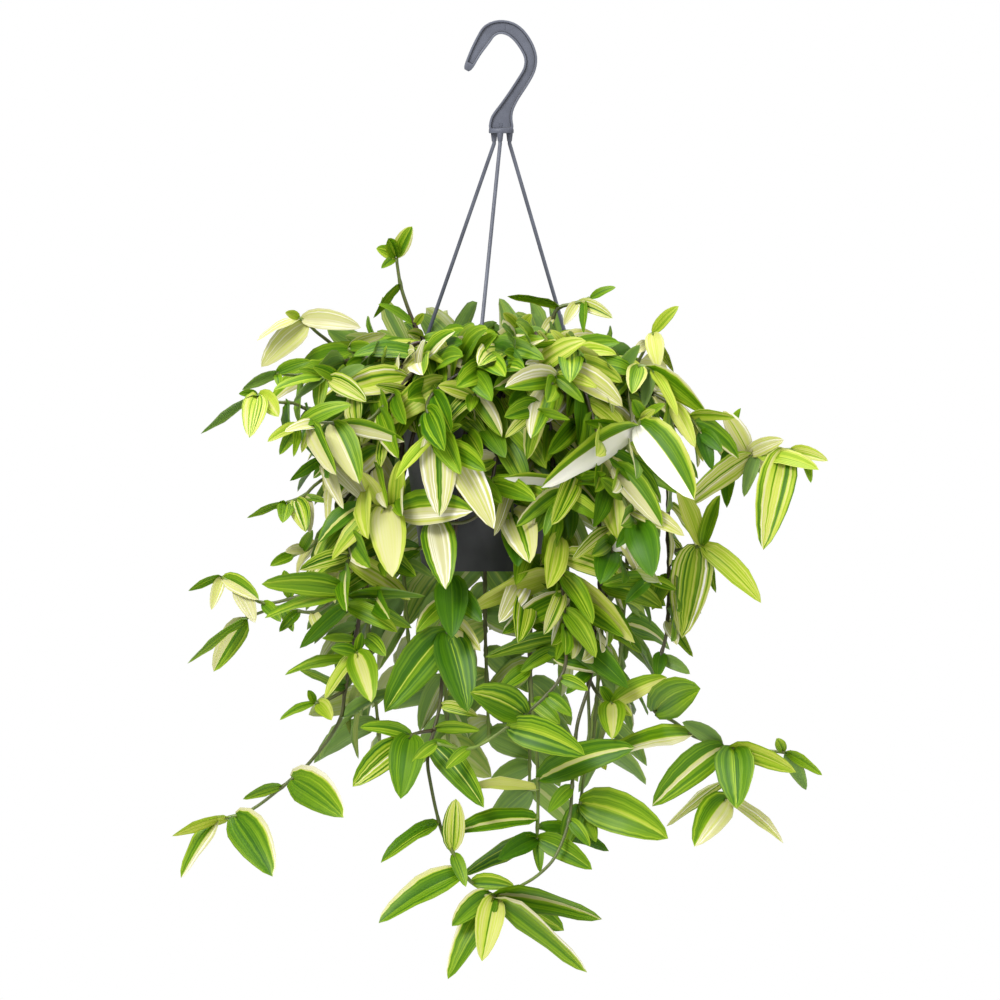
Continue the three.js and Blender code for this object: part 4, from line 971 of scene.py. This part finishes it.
# The photograph doesn't show the back, so the stems there and their leaves follow a rule.
def back_plant(k):
    angle = BACK_FROM + (BACK_TO - BACK_FROM) * (k + 0.5) / len(BACK_DROPS)
    reach = BACK_OUT + BACK_OUT_MORE * wobble(k + 0.3)
    swing = BACK_SWING * (wobble(k + 0.7) - 0.5)
    main = [around_pot(angle, reach + BACK_START[0], RIM_Z - BACK_START[1])]
    for turn, (out, share) in zip((0, swing, 0), BACK_COURSE):
        main.append(around_pot(angle + turn, reach + out, RIM_Z - BACK_DROPS[k] * share))
    count = int(place_along(main, 0.5)[1] / BACK_NODE)
    middle = (main[1] - Vector((POT_X, 0, main[1].z))).normalized()
    sideways = Vector((-middle.y, middle.x, 0))
    made = []
    for i in range(count):
        base = place_along(main, (i + BACK_FIRST) / count)[0]
        side = 1 if i % 2 == 0 else -1
        size = BACK_LEAF * between(BACK_SIZES, wobble(20 * k + i))
        fall = UP * size * between(BACK_FALL, wobble(20 * k + i + 0.5))
        beside = sideways * side * size * BACK_ASIDE
        made.append(
            {
                "base": base,
                "tip": base + beside + middle * size * BACK_OUTWARD - fall,
                "width": size * BLADE_ASPECT * BACK_SLIM,
                "outward": middle,
                "roll": side,
                "pattern": BACK_PATTERNS[(3 * k + i) % len(BACK_PATTERNS)],
            }
        )
    return {"name": f"stem_back_{k + 1}", "routes": [main], "leaves": made}


plants = [front_plant(name, *entry) for name, entry in STEMS.items()]
plants += [back_plant(k) for k in range(len(BACK_DROPS))]
print(len(plants), "stems carry", sum(len(plant["leaves"]) for plant in plants), "leaves")

# %% [markdown]
# ### From the soil to the first measured point
#
# The photograph hides how a stem leaves the pot. In the solids it rises from the soil, lies on the crown
# and bends over the rim, a few degrees aside or a little higher where another stem was in the way. The
# same few candidates are tried here, and the one whose points lie on the solid's own points is taken.

# %% Hidden part of each stem
from mathutils.kdtree import KDTree

ROOT_DEPTH = 14.0
ROOT_RINGS = (58.0, 34.0, 46.0, 25.0)
EVEN_SHARE = 0.3
CROWN_TIERS = 3
CROWN_TIER = 9.0
ROOT_RISE = 7  # how far a stem stands up straight out of the soil
CROSS_INSIDE = 10  # it crosses over the rim from this far inside it
HANG_OUTSIDE = 14  # and comes down this far outside it
HANG_BELOW = 8  # this much lower
NEAR_RIM = (-8, 6)  # seen first nearer the axis, it doesn't cross the rim, or doesn't come down
SWINGS = (0, 4, -4, 8, -8, 12, -12, 16, -16)
LIFTS = (0, 8, 16)


def hidden_route(first, rank, swing, lift):
    even = -180 + 360 * (rank + 0.5) / len(plants)
    angle = EVEN_SHARE * even + (1 - EVEN_SHARE) * azimuth(first)
    root = around_pot(angle, ROOT_RINGS[rank % len(ROOT_RINGS)], RIM_Z - SOIL_BELOW_RIM - ROOT_DEPTH)
    route = [root, Vector((root.x, root.y, RIM_Z - SOIL_BELOW_RIM + ROOT_RISE))]
    over = RIM_Z + CROWN_TIER * (1 + rank % CROWN_TIERS) + lift
    reach = math.hypot(first.y, first.x - POT_X)
    if reach > RIM_RADIUS + NEAR_RIM[0]:
        route.append(around_pot(angle + swing, RIM_RADIUS - CROSS_INSIDE, over))
    if reach > RIM_RADIUS + NEAR_RIM[1] and first.z < over - HANG_BELOW:
        outside = (angle + azimuth(first) + swing) / 2
        route.append(around_pot(outside, min(reach, RIM_RADIUS + HANG_OUTSIDE), over - HANG_BELOW))
    return route


def nearest_detour(points, first, rank):
    tree = KDTree(len(points))
    for k, point in enumerate(points):
        tree.insert(point, k)
    tree.balance()
    best = None
    for lift in LIFTS:
        for swing in SWINGS:
            route = hidden_route(first, rank, swing, lift)
            gap = max(tree.find(point)[2] for point in route)
            if best is None or gap < best[0] - 0.02:
                best = (gap, route)
    return best


worst = 0
for rank, plant in enumerate(sorted(plants, key=lambda plant: azimuth(plant["routes"][0][0]))):
    plant["points"] = [vertex.co / MM for vertex in nodes[plant["name"]].data.vertices]
    gap, hidden = nearest_detour(plant["points"], plant["routes"][0][0], rank)
    plant["lines"] = [[*hidden, *plant["routes"][0]], *plant["routes"][1:]]
    worst = max(worst, gap)
print("routes lie within", round(worst, 2), "mm of the solids' points")

# %% [markdown]
# ### One leaf, modelled once
#
# The blade is a thin lens with a pointed tip. A single sheet would do for looks, but every piece here is a
# closed solid. So a grid makes the upper side, a flipped copy the underside, only the inner points of the
# copy are lowered, and merging by distance closes the margin. The far row is merged into the tip. The
# margin is marked sharp, because smoothed round its edge a thin blade would look like a cushion. It has few
# faces, because hundreds of leaves repeat it.

# %% Leaf blank
LEAF_COLUMNS = 4
LEAF_ROWS = 8
INNER_DROP = 0.1
MARGIN = 0.49  # a point beyond this lies on the blank's outline

bpy.ops.mesh.primitive_grid_add(x_subdivisions=LEAF_COLUMNS, y_subdivisions=LEAF_ROWS, size=1)
blank = bpy.context.object
blank.name = "leaf_blank"
bpy.ops.object.mode_set(mode="EDIT")
bpy.ops.mesh.select_all(action="SELECT")
bpy.ops.mesh.duplicate()
bpy.ops.mesh.flip_normals()
sheet = bmesh.from_edit_mesh(blank.data)
for vert in sheet.verts:
    inner = max(abs(vert.co.x), abs(vert.co.y)) < MARGIN
    vert.select_set(vert.select and inner)
sheet.select_mode = {"VERT"}
sheet.select_flush_mode()
bmesh.update_edit_mesh(blank.data)
bpy.ops.transform.translate(value=(0, 0, -INNER_DROP))
bpy.ops.mesh.select_all(action="SELECT")
bpy.ops.mesh.remove_doubles(threshold=0.001)
sheet = bmesh.from_edit_mesh(blank.data)
for vert in sheet.verts:
    vert.select_set(vert.co.y > MARGIN)
sheet.select_flush_mode()
bmesh.update_edit_mesh(blank.data)
bpy.ops.mesh.merge(type="CENTER")
bpy.ops.mesh.select_all(action="DESELECT")
sheet = bmesh.from_edit_mesh(blank.data)
for edge in sheet.edges:
    ends = [max(abs(vert.co.x), abs(vert.co.y)) > MARGIN for vert in edge.verts]
    edge.select_set(all(ends) and sum(face.normal.z for face in edge.link_faces) < 1)
bmesh.update_edit_mesh(blank.data)
bpy.ops.mesh.mark_sharp()
bpy.ops.object.mode_set(mode="OBJECT")
blank.data.shade_smooth()
print("leaf blank:", len(blank.data.vertices), "points,", len(blank.data.polygons), "faces")

# %% [markdown]
# ### Bending the leaf into place
#
# Each copy follows the same curved midrib as its solid blade. The base clasps the stem, so the two halves
# are folded up steeply there and open out farther on. The halves bulge a little, the margins wave, and the
# blade keeps the width that the photograph shows.

# %% Patterns: left, right, left margin, right margin, middle, middle's width, stripes
PATTERNS = {
    "d": (0.10, 0.12, 0.0, 0.0, 0.18, 0.04, 0.08),
    "g": (0.24, 0.28, 0.0, 0.0, 0.40, 0.04, 0.14),
    "t": (0.20, 0.22, 0.0, 0.0, 0.64, 0.05, 0.20),
    "n": (0.22, 0.26, 1.0, 0.0, 0.42, 0.04, 0.14),
    "p": (0.22, 0.26, 0.0, 1.0, 0.42, 0.04, 0.14),
    "m": (0.24, 0.28, 0.8, 0.7, 0.36, 0.04, 0.14),
    "i": (0.60, 0.28, 0.0, 0.0, 0.50, 0.03, 0.10),
    "y": (0.46, 0.50, 0.0, 0.0, 0.36, 0.08, 0.20),
    "z": (0.30, 0.34, 0.0, 0.0, 0.70, 0.42, 0.12),
    "o": (0.58, 0.52, 0.0, 0.0, 0.48, 0.03, 0.12),
    "v": (0.68, 0.62, 0.0, 0.0, 0.56, 0.04, 0.18),
    "a": (0.50, 0.46, 0.0, 0.0, 0.76, 0.78, 0.06),
    "c": (0.78, 0.80, 0.0, 0.0, 0.50, 0.06, 0.26),
    "w": (0.87, 0.82, 0.0, 0.0, 0.80, 0.00, 0.10),
    "l": (0.84, 0.26, 0.0, 0.1, 0.50, 0.03, 0.16),
    "r": (0.26, 0.84, 0.1, 0.0, 0.50, 0.03, 0.16),
    "h": (1.10, 0.22, 0.0, 0.5, 0.40, 0.03, 0.08),
    "j": (0.22, 1.10, 0.3, 0.0, 0.40, 0.03, 0.08),
    "k": (0.16, 0.20, 0.0, 0.0, 0.82, 0.18, 0.12),
    "s": (0.46, 0.50, 0.0, 0.0, 0.30, 0.06, 0.62),
    "u": (0.22, 0.24, 0.0, 0.0, 0.24, 0.04, 0.08),
    "e": (0.84, 0.80, 0.0, 0.0, 0.18, 0.20, 0.18),
    "b": (0.18, 0.24, 0.0, 0.0, 0.88, 0.64, 0.10),
}
SLANT = 1.04  # how much longer a leaf is than it looks, at least
SLIMMEST = 0.75  # a leaf that looks slimmer than this share of its width is rolled
BEND_AT = 0.45  # where a leaf's bend is, from its stem to its tip
BLADE_LIFT = 0.1
BLADE_ARCH = 0.12
LEAF_THICK = 0.55
ROWS_AT = (0.0, 0.06, 0.16, 0.31, 0.48, 0.66, 0.82, 0.93, 1.0)
CLASP = 62.0  # degrees that a half is folded up at the stem
OPEN = 15.0  # and farther out
CLASP_END = 0.26
BULGE = 0.1  # of half the width
WAVE = 0.1
SEAT_DROP = 1.2  # mm that the base lies lower, inside the stem
TONE_SHIFT = 0.08
TIP_MATCH = 0.05  # mm between a tip and the solid's own


# Half a blade's width along it, 1 at its widest, two fifths of the way to the tip.
def blade_share(t):
    return 2.16 * (t + 0.015) ** 0.48 * max(0.0, 1 - t) ** 0.68


def bend_of(leaf, aim, end):
    base = leaf["base"]
    seen = math.hypot(aim.x - base.x, aim.z - base.z)
    length = max(seen * SLANT, leaf["width"] / BLADE_ASPECT)
    bend = base.lerp(end, BEND_AT) + leaf["outward"] * length * BLADE_LIFT + UP * length * BLADE_ARCH
    return length, bend


def on_bend(base, bend, end, t):
    return base * (1 - t) ** 2 + bend * 2 * t * (1 - t) + end * t**2


def bent_leaf(leaf, end, seed):
    base = leaf["base"]
    length, bend = bend_of(leaf, leaf["tip"], end)
    full = max(leaf["width"], length * BLADE_ASPECT * SLIMMEST)
    roll = math.acos(leaf["width"] / full) * leaf["roll"]
    mesh = blank.data.copy()
    for vert in mesh.vertices:
        u, t = 2 * vert.co.x, ROWS_AT[round((vert.co.y + 0.5) * LEAF_ROWS)]
        middle = on_bend(base, bend, end, t)
        along = ((bend - base) * (1 - t) + (end - bend) * t).normalized()
        level = along.cross(leaf["outward"]).normalized()
        face = level.cross(along)
        across = level * math.cos(roll) + face * math.sin(roll)
        normal = across.cross(along)
        half = blade_share(t) * full / 2
        opened = min(1.0, t / CLASP_END)
        fold = math.radians(CLASP + (OPEN - CLASP) * opened * (2 - opened))
        side = abs(u) * half
        bulge = BULGE * half * math.sin(math.pi * abs(u))
        wave = WAVE * half * u * u * opened * math.sin(11 * t + 9 * seed + 1.7 * u)
        rise = side * math.sin(fold) + bulge + wave - SEAT_DROP * (1 - t)
        thick = LEAF_THICK if vert.co.z < -INNER_DROP / 2 else 0.0
        place = middle + across * math.copysign(side * math.cos(fold), u) + normal * (rise - thick)
        vert.co = place * MM
    count = len(mesh.vertices)
    left, right, left_margin, right_margin, middle_tone, width, stripes = PATTERNS[leaf["pattern"]]
    shift = TONE_SHIFT * (wobble(seed + 0.11) - 0.5)
    zones = (left + shift, right + shift, left_margin, right_margin)
    set_layer(mesh, "zones", "FLOAT_COLOR", zones * count)
    set_layer(mesh, "lines", "FLOAT_COLOR", (middle_tone + shift, width, stripes, seed) * count)
    turned = leaf["pattern"] == "u"  # a leaf that shows its underside on both faces
    under = [1.0 if turned or polygon.normal.z < -0.5 else 0.0 for polygon in blank.data.polygons]
    set_layer(mesh, "under", "FLOAT", under, "FACE")
    return mesh


def tip_on_solid(plant, leaf):
    tip = leaf["tip"]
    for point in plant["points"]:
        if abs(point.x - tip.x) < TIP_MATCH and abs(point.z - tip.z) < TIP_MATCH:
            return point
    return None


print(len(PATTERNS), "leaf patterns")

# %% [markdown]
# ### The stem as a swept curve
#
# A stem is a curve with a round bevel, thicker at the root than at the tip and swollen at each joint, where
# a leaf's sheath wraps it. Its route is rounded in the same way as the hook's rows.

# %% Stem helpers
STEM_STEP = 5.0
ROOT_RADIUS = 2.1
TIP_RADIUS = 1.25
JOINT_SWELL = 0.55
JOINT_REACH = 4.0


def stem_tube(name, path, joints, young):
    curve = bpy.data.curves.new(name, "CURVE")
    curve.dimensions = "3D"
    curve.bevel_depth = MM
    curve.bevel_resolution = 2
    curve.use_fill_caps = True
    spline = curve.splines.new("POLY")
    spline.points.add(len(path) - 1)
    for k, point in enumerate(path):
        share = young + (1 - young) * k / (len(path) - 1)
        radius = ROOT_RADIUS + (TIP_RADIUS - ROOT_RADIUS) * share
        near = min(((point - joint).length for joint in joints), default=99.0)
        radius += JOINT_SWELL * max(0.0, 1 - near / JOINT_REACH)
        spline.points[k].co = (*(point * MM), 1)
        spline.points[k].radius = radius
    piece = bpy.data.objects.new(name, curve)
    bpy.context.scene.collection.objects.link(piece)
    select_only(piece)
    bpy.ops.object.convert(target="MESH")
    piece = bpy.context.object
    bpy.ops.object.mode_set(mode="EDIT")
    bpy.ops.mesh.select_all(action="SELECT")
    bpy.ops.mesh.remove_doubles(threshold=SAME_PLACE)
    bpy.ops.mesh.normals_make_consistent(inside=False)
    bpy.ops.object.mode_set(mode="OBJECT")
    length = max(1, len(path) - 1)
    tree = KDTree(len(path))
    for k, point in enumerate(path):
        tree.insert(point * MM, k)
    tree.balance()
    ages = [young + (1 - young) * tree.find(vertex.co)[1] / length for vertex in piece.data.vertices]
    set_layer(piece.data, "age", "FLOAT", ages)
    piece.data.materials.clear()
    piece.data.materials.append(stem_finish)
    piece.data.shade_smooth()
    return piece


def on_path(paths, point):
    best = None
    for path in paths:
        for first, second in zip(path, path[1:]):
            run = second - first
            share = (point - first).dot(run) / (run.length_squared or 1)
            place = first + run * min(1, max(0, share))
            away = (place - point).length
            if best is None or away < best[0]:
                best = (away, place)
    return best[1]


# %% [markdown]
# ### Leaves that only fill in
#
# A stem has a leaf at every joint, also where leaves nearer the viewer cover it. The solids' leaves leave
# those joints bare, and the pot and the arching stems would show between them. So each bare joint gets a
# leaf too. Several ways of hanging it are tried, and the one that stands clearest of the leaves already
# there is kept, if it stays behind the outline that the photograph's closed foliage has, off the bit of
# pot that shows, and keeps its midrib clear of the pot and the rods. Only four points of the midrib are
# tested, so a blade's edge can still cut a rod, the rim or another leaf.

# %% Room for more leaves
import numpy as np

JOINT_GAP = 15.0
JOINT_FREE = 4.0
TRIES = 16
CLEAR_OF_LEAVES = 6.5
# Each pair below is the least value and how much may be added to it.
FILL_LENGTH = (40.0, 22.0)
FILL_ASPECT = (0.36, 0.08)
FILL_ASIDE = (0.25, 0.6)
FILL_OUT = (0.15, 0.5)
CROWN_RISE = (0.9, -1.2)
HANGING_RISE = (-0.15, -0.7)
FIRST_FILL = (8, 8)
GAP_SHARES = (0.85, 0.3)
NEAR_AXIS = 12.0  # mm; a joint nearer the axis has no outward side of its own
PAST_RIM = 15  # mm of the seen stem that still counts as crown
MIDRIB_AT = (0.3, 0.55, 0.8, 1.0)
BEHIND = 25.0  # a back stem's leaf with its tip farther back may leave the closed foliage
CROWN_TOP = 20.0  # above this height over the rim leaves only hang
FILL_PATTERNS = "gtdcgsngyckgtrgl"
CLOSED_FOLIAGE = [
    (258, 384), (285, 358), (330, 345), (385, 345), (440, 330), (500, 322), (560, 326), (600, 336),
    (645, 348), (692, 380), (720, 412), (765, 442), (800, 462), (775, 520), (742, 575), (715, 605),
    (700, 640), (640, 664), (590, 664), (540, 660), (490, 655), (430, 650), (380, 630), (330, 610),
    (285, 595), (295, 560), (335, 520), (305, 470), (285, 440), (262, 412),
]
POT_SHOWS = [(404, 436), (428, 440), (432, 500), (492, 505), (494, 570), (440, 580), (412, 560), (402, 500)]
POT_HEIGHT = 154.0
BASE_RADIUS = 53.0
LUG_CIRCLE = 79.5
WALL_FREE = 7.0  # mm kept from the pot's wall
RIM_FREE = 3.0
BASE_FREE = 4.0
RIM_INSIDE = 6.0
ROD_TOP = Vector((1.0, 0.0, -85.4))
ROD_CLEAR = 5.0


def inside(polygon, point):
    x, y = SEAT_PIXEL[0] + point.x / MM_PER_PIXEL, SEAT_PIXEL[1] - point.z / MM_PER_PIXEL
    odd = False
    for (x1, y1), (x2, y2) in zip(polygon, polygon[1:] + polygon[:1]):
        if (y1 > y) != (y2 > y) and x < x1 + (x2 - x1) * (y - y1) / (y2 - y1):
            odd = not odd
    return odd


def hits_hanger(point):
    reach = math.hypot(point.x - POT_X, point.y)
    depth = RIM_Z - point.z
    wall = RIM_RADIUS - (RIM_RADIUS - BASE_RADIUS) * max(0.0, depth) / POT_HEIGHT
    beside_pot = -RIM_FREE < depth < POT_HEIGHT + BASE_FREE and reach < wall + WALL_FREE
    if beside_pot and (depth > RIM_FREE or reach > RIM_RADIUS - RIM_INSIDE):
        return True
    for angle in ROD_ANGLES:
        foot = around_pot(angle, LUG_CIRCLE, RIM_Z)
        run = foot - ROD_TOP
        share = min(1, max(0, (point - ROD_TOP).dot(run) / run.length_squared))
        if (ROD_TOP + run * share - point).length < ROD_CLEAR:
            return True
    return False


def midrib(leaf, end):
    bend = bend_of(leaf, end, end)[1]
    return [on_bend(leaf["base"], bend, end, t) for t in MIDRIB_AT]


def hanging_leaf(base, hidden, seed, attempt):
    chance = [wobble(seed + 1.37 * attempt + 0.21 * k) for k in range(5)]
    flat = Vector((base.x - POT_X, base.y, 0))
    outward = Vector((math.cos(seed), math.sin(seed), 0))
    if flat.length > NEAR_AXIS:
        outward = flat.normalized()
    sideways = Vector((-outward.y, outward.x, 0))
    length = between(FILL_LENGTH, chance[0])
    side = 1 if attempt % 2 else -1
    aside = between(FILL_ASIDE, chance[1]) * side
    low = hidden and base.z < RIM_Z + CROWN_TOP
    rise = between(CROWN_RISE if low else HANGING_RISE, chance[2])
    way = sideways * aside + outward * between(FILL_OUT, chance[3]) + UP * rise
    tip = base + way.normalized() * length
    width = length * between(FILL_ASPECT, chance[4])
    face = (outward * 0.9 + UP * 0.5).normalized() if hidden else outward
    return {"base": base, "tip": tip, "width": width, "outward": face, "roll": side}


def clearance(line):
    gaps = np.linalg.norm(taken[None, :, :] - np.array(line)[:, None, :], axis=2)
    return gaps.min()


def allowed(line, back):
    tip = line[-1]
    if any(hits_hanger(point) for point in line):
        return False
    if back and tip.y > BEHIND:
        return True
    if not all(inside(CLOSED_FOLIAGE, point) for point in line[1:]):
        return False
    return tip.y > 0 or not any(inside(POT_SHOWS, point) for point in line)


def best_leaf(joint, hidden, seed, back):
    best = None
    for attempt in range(TRIES):
        leaf = hanging_leaf(joint, hidden, seed, attempt)
        line = midrib(leaf, leaf["tip"])
        if allowed(line, back):
            gap = clearance(line)
            if gap > (best[0] if best else CLEAR_OF_LEAVES):
                best = (gap, leaf, line)
    return best


def filling_leaves(path, hidden_length, joints, seed, back):
    global taken
    added = []
    length = 0.0
    following = between(FIRST_FILL, wobble(seed))
    for first, second in zip(path, path[1:]):
        length += (second - first).length
        bare = all((second - joint).length > JOINT_FREE for joint in joints)
        if length < following or not bare or not (back or inside(CLOSED_FOLIAGE, second)):
            continue
        following = length + JOINT_GAP * between(GAP_SHARES, wobble(seed + length))
        hidden = length < hidden_length
        for side in range(2 if hidden else 1):
            found = best_leaf(second, hidden, seed + length + 5.3 * side, back)
            if found:
                leaf = found[1]
                pick = int(97 * wobble(seed + length + 0.5 + side)) % len(FILL_PATTERNS)
                leaf["pattern"] = FILL_PATTERNS[pick]
                added.append(leaf)
                taken = np.vstack([taken, np.array(found[2])])
    return added


# %% Grow every stem
blank.data.materials.clear()
blank.data.materials.append(leaf_finish)
missing = []
solid_lines = []
for number, plant in enumerate(plants):
    plant["paths"] = [rounded(line, STEM_STEP) for line in plant["lines"]]
    plant["grown"] = []
    for k, leaf in enumerate(plant["leaves"]):
        end = tip_on_solid(plant, leaf)
        if end is None:
            missing.append(f"{plant['name']}:{k}")
            continue
        leaf["base"] = on_path(plant["paths"], leaf["base"])
        plant["grown"].append((leaf, end, wobble(31.7 * number + k)))
        solid_lines.extend(midrib(leaf, end))
taken = np.array(solid_lines)
on_solids = sum(len(plant["grown"]) for plant in plants)
for number, plant in enumerate(plants):
    joints = [leaf["base"] for leaf, _, _ in plant["grown"]]
    hidden = plant["lines"][0][: -len(plant["routes"][0])]
    hidden_length = sum((far - near).length for near, far in zip(hidden, hidden[1:])) + PAST_RIM
    back = "back" in plant["name"]
    for leaf in filling_leaves(plant["paths"][0], hidden_length, joints, 3.1 * number + 0.4, back):
        plant["grown"].append((leaf, leaf["tip"], wobble(57.1 * number + len(plant["grown"]))))
grown = sum(len(plant["grown"]) for plant in plants)
print(on_solids, "leaves as in the solids and", grown - on_solids, "that fill in; the solids lack", missing)

# %% Stem and leaves, joined
for plant in plants:
    joints = [leaf["base"] for leaf, _, _ in plant["grown"]]
    parts = [
        stem_tube(plant["name"] + "_fine", path, joints, 0.0 if k == 0 else 0.6)
        for k, path in enumerate(plant["paths"])
    ]
    for leaf, end, seed in plant["grown"]:
        piece = bpy.data.objects.new("leaf", bent_leaf(leaf, end, seed))
        bpy.context.scene.collection.objects.link(piece)
        parts.append(piece)
    select_only(*parts)
    bpy.ops.object.join()
    plant["piece"] = bpy.context.object
    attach(plant["piece"], "root")
    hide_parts(plant["name"])
bpy.data.objects.remove(blank)
faces = sum(len(plant["piece"].data.polygons) for plant in plants)
print(len(plants), "stems,", faces, "faces")

# %% [markdown]
# ## Size
#
# The finished plant has to stay in the solids' box, within a small allowance for folds and margins.

fine_box = [list(corner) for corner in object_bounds()]
for label, box in (("solids", cad_box), ("visual", fine_box)):
    print(label, [round(high - low, 4) for low, high in zip(*box)])
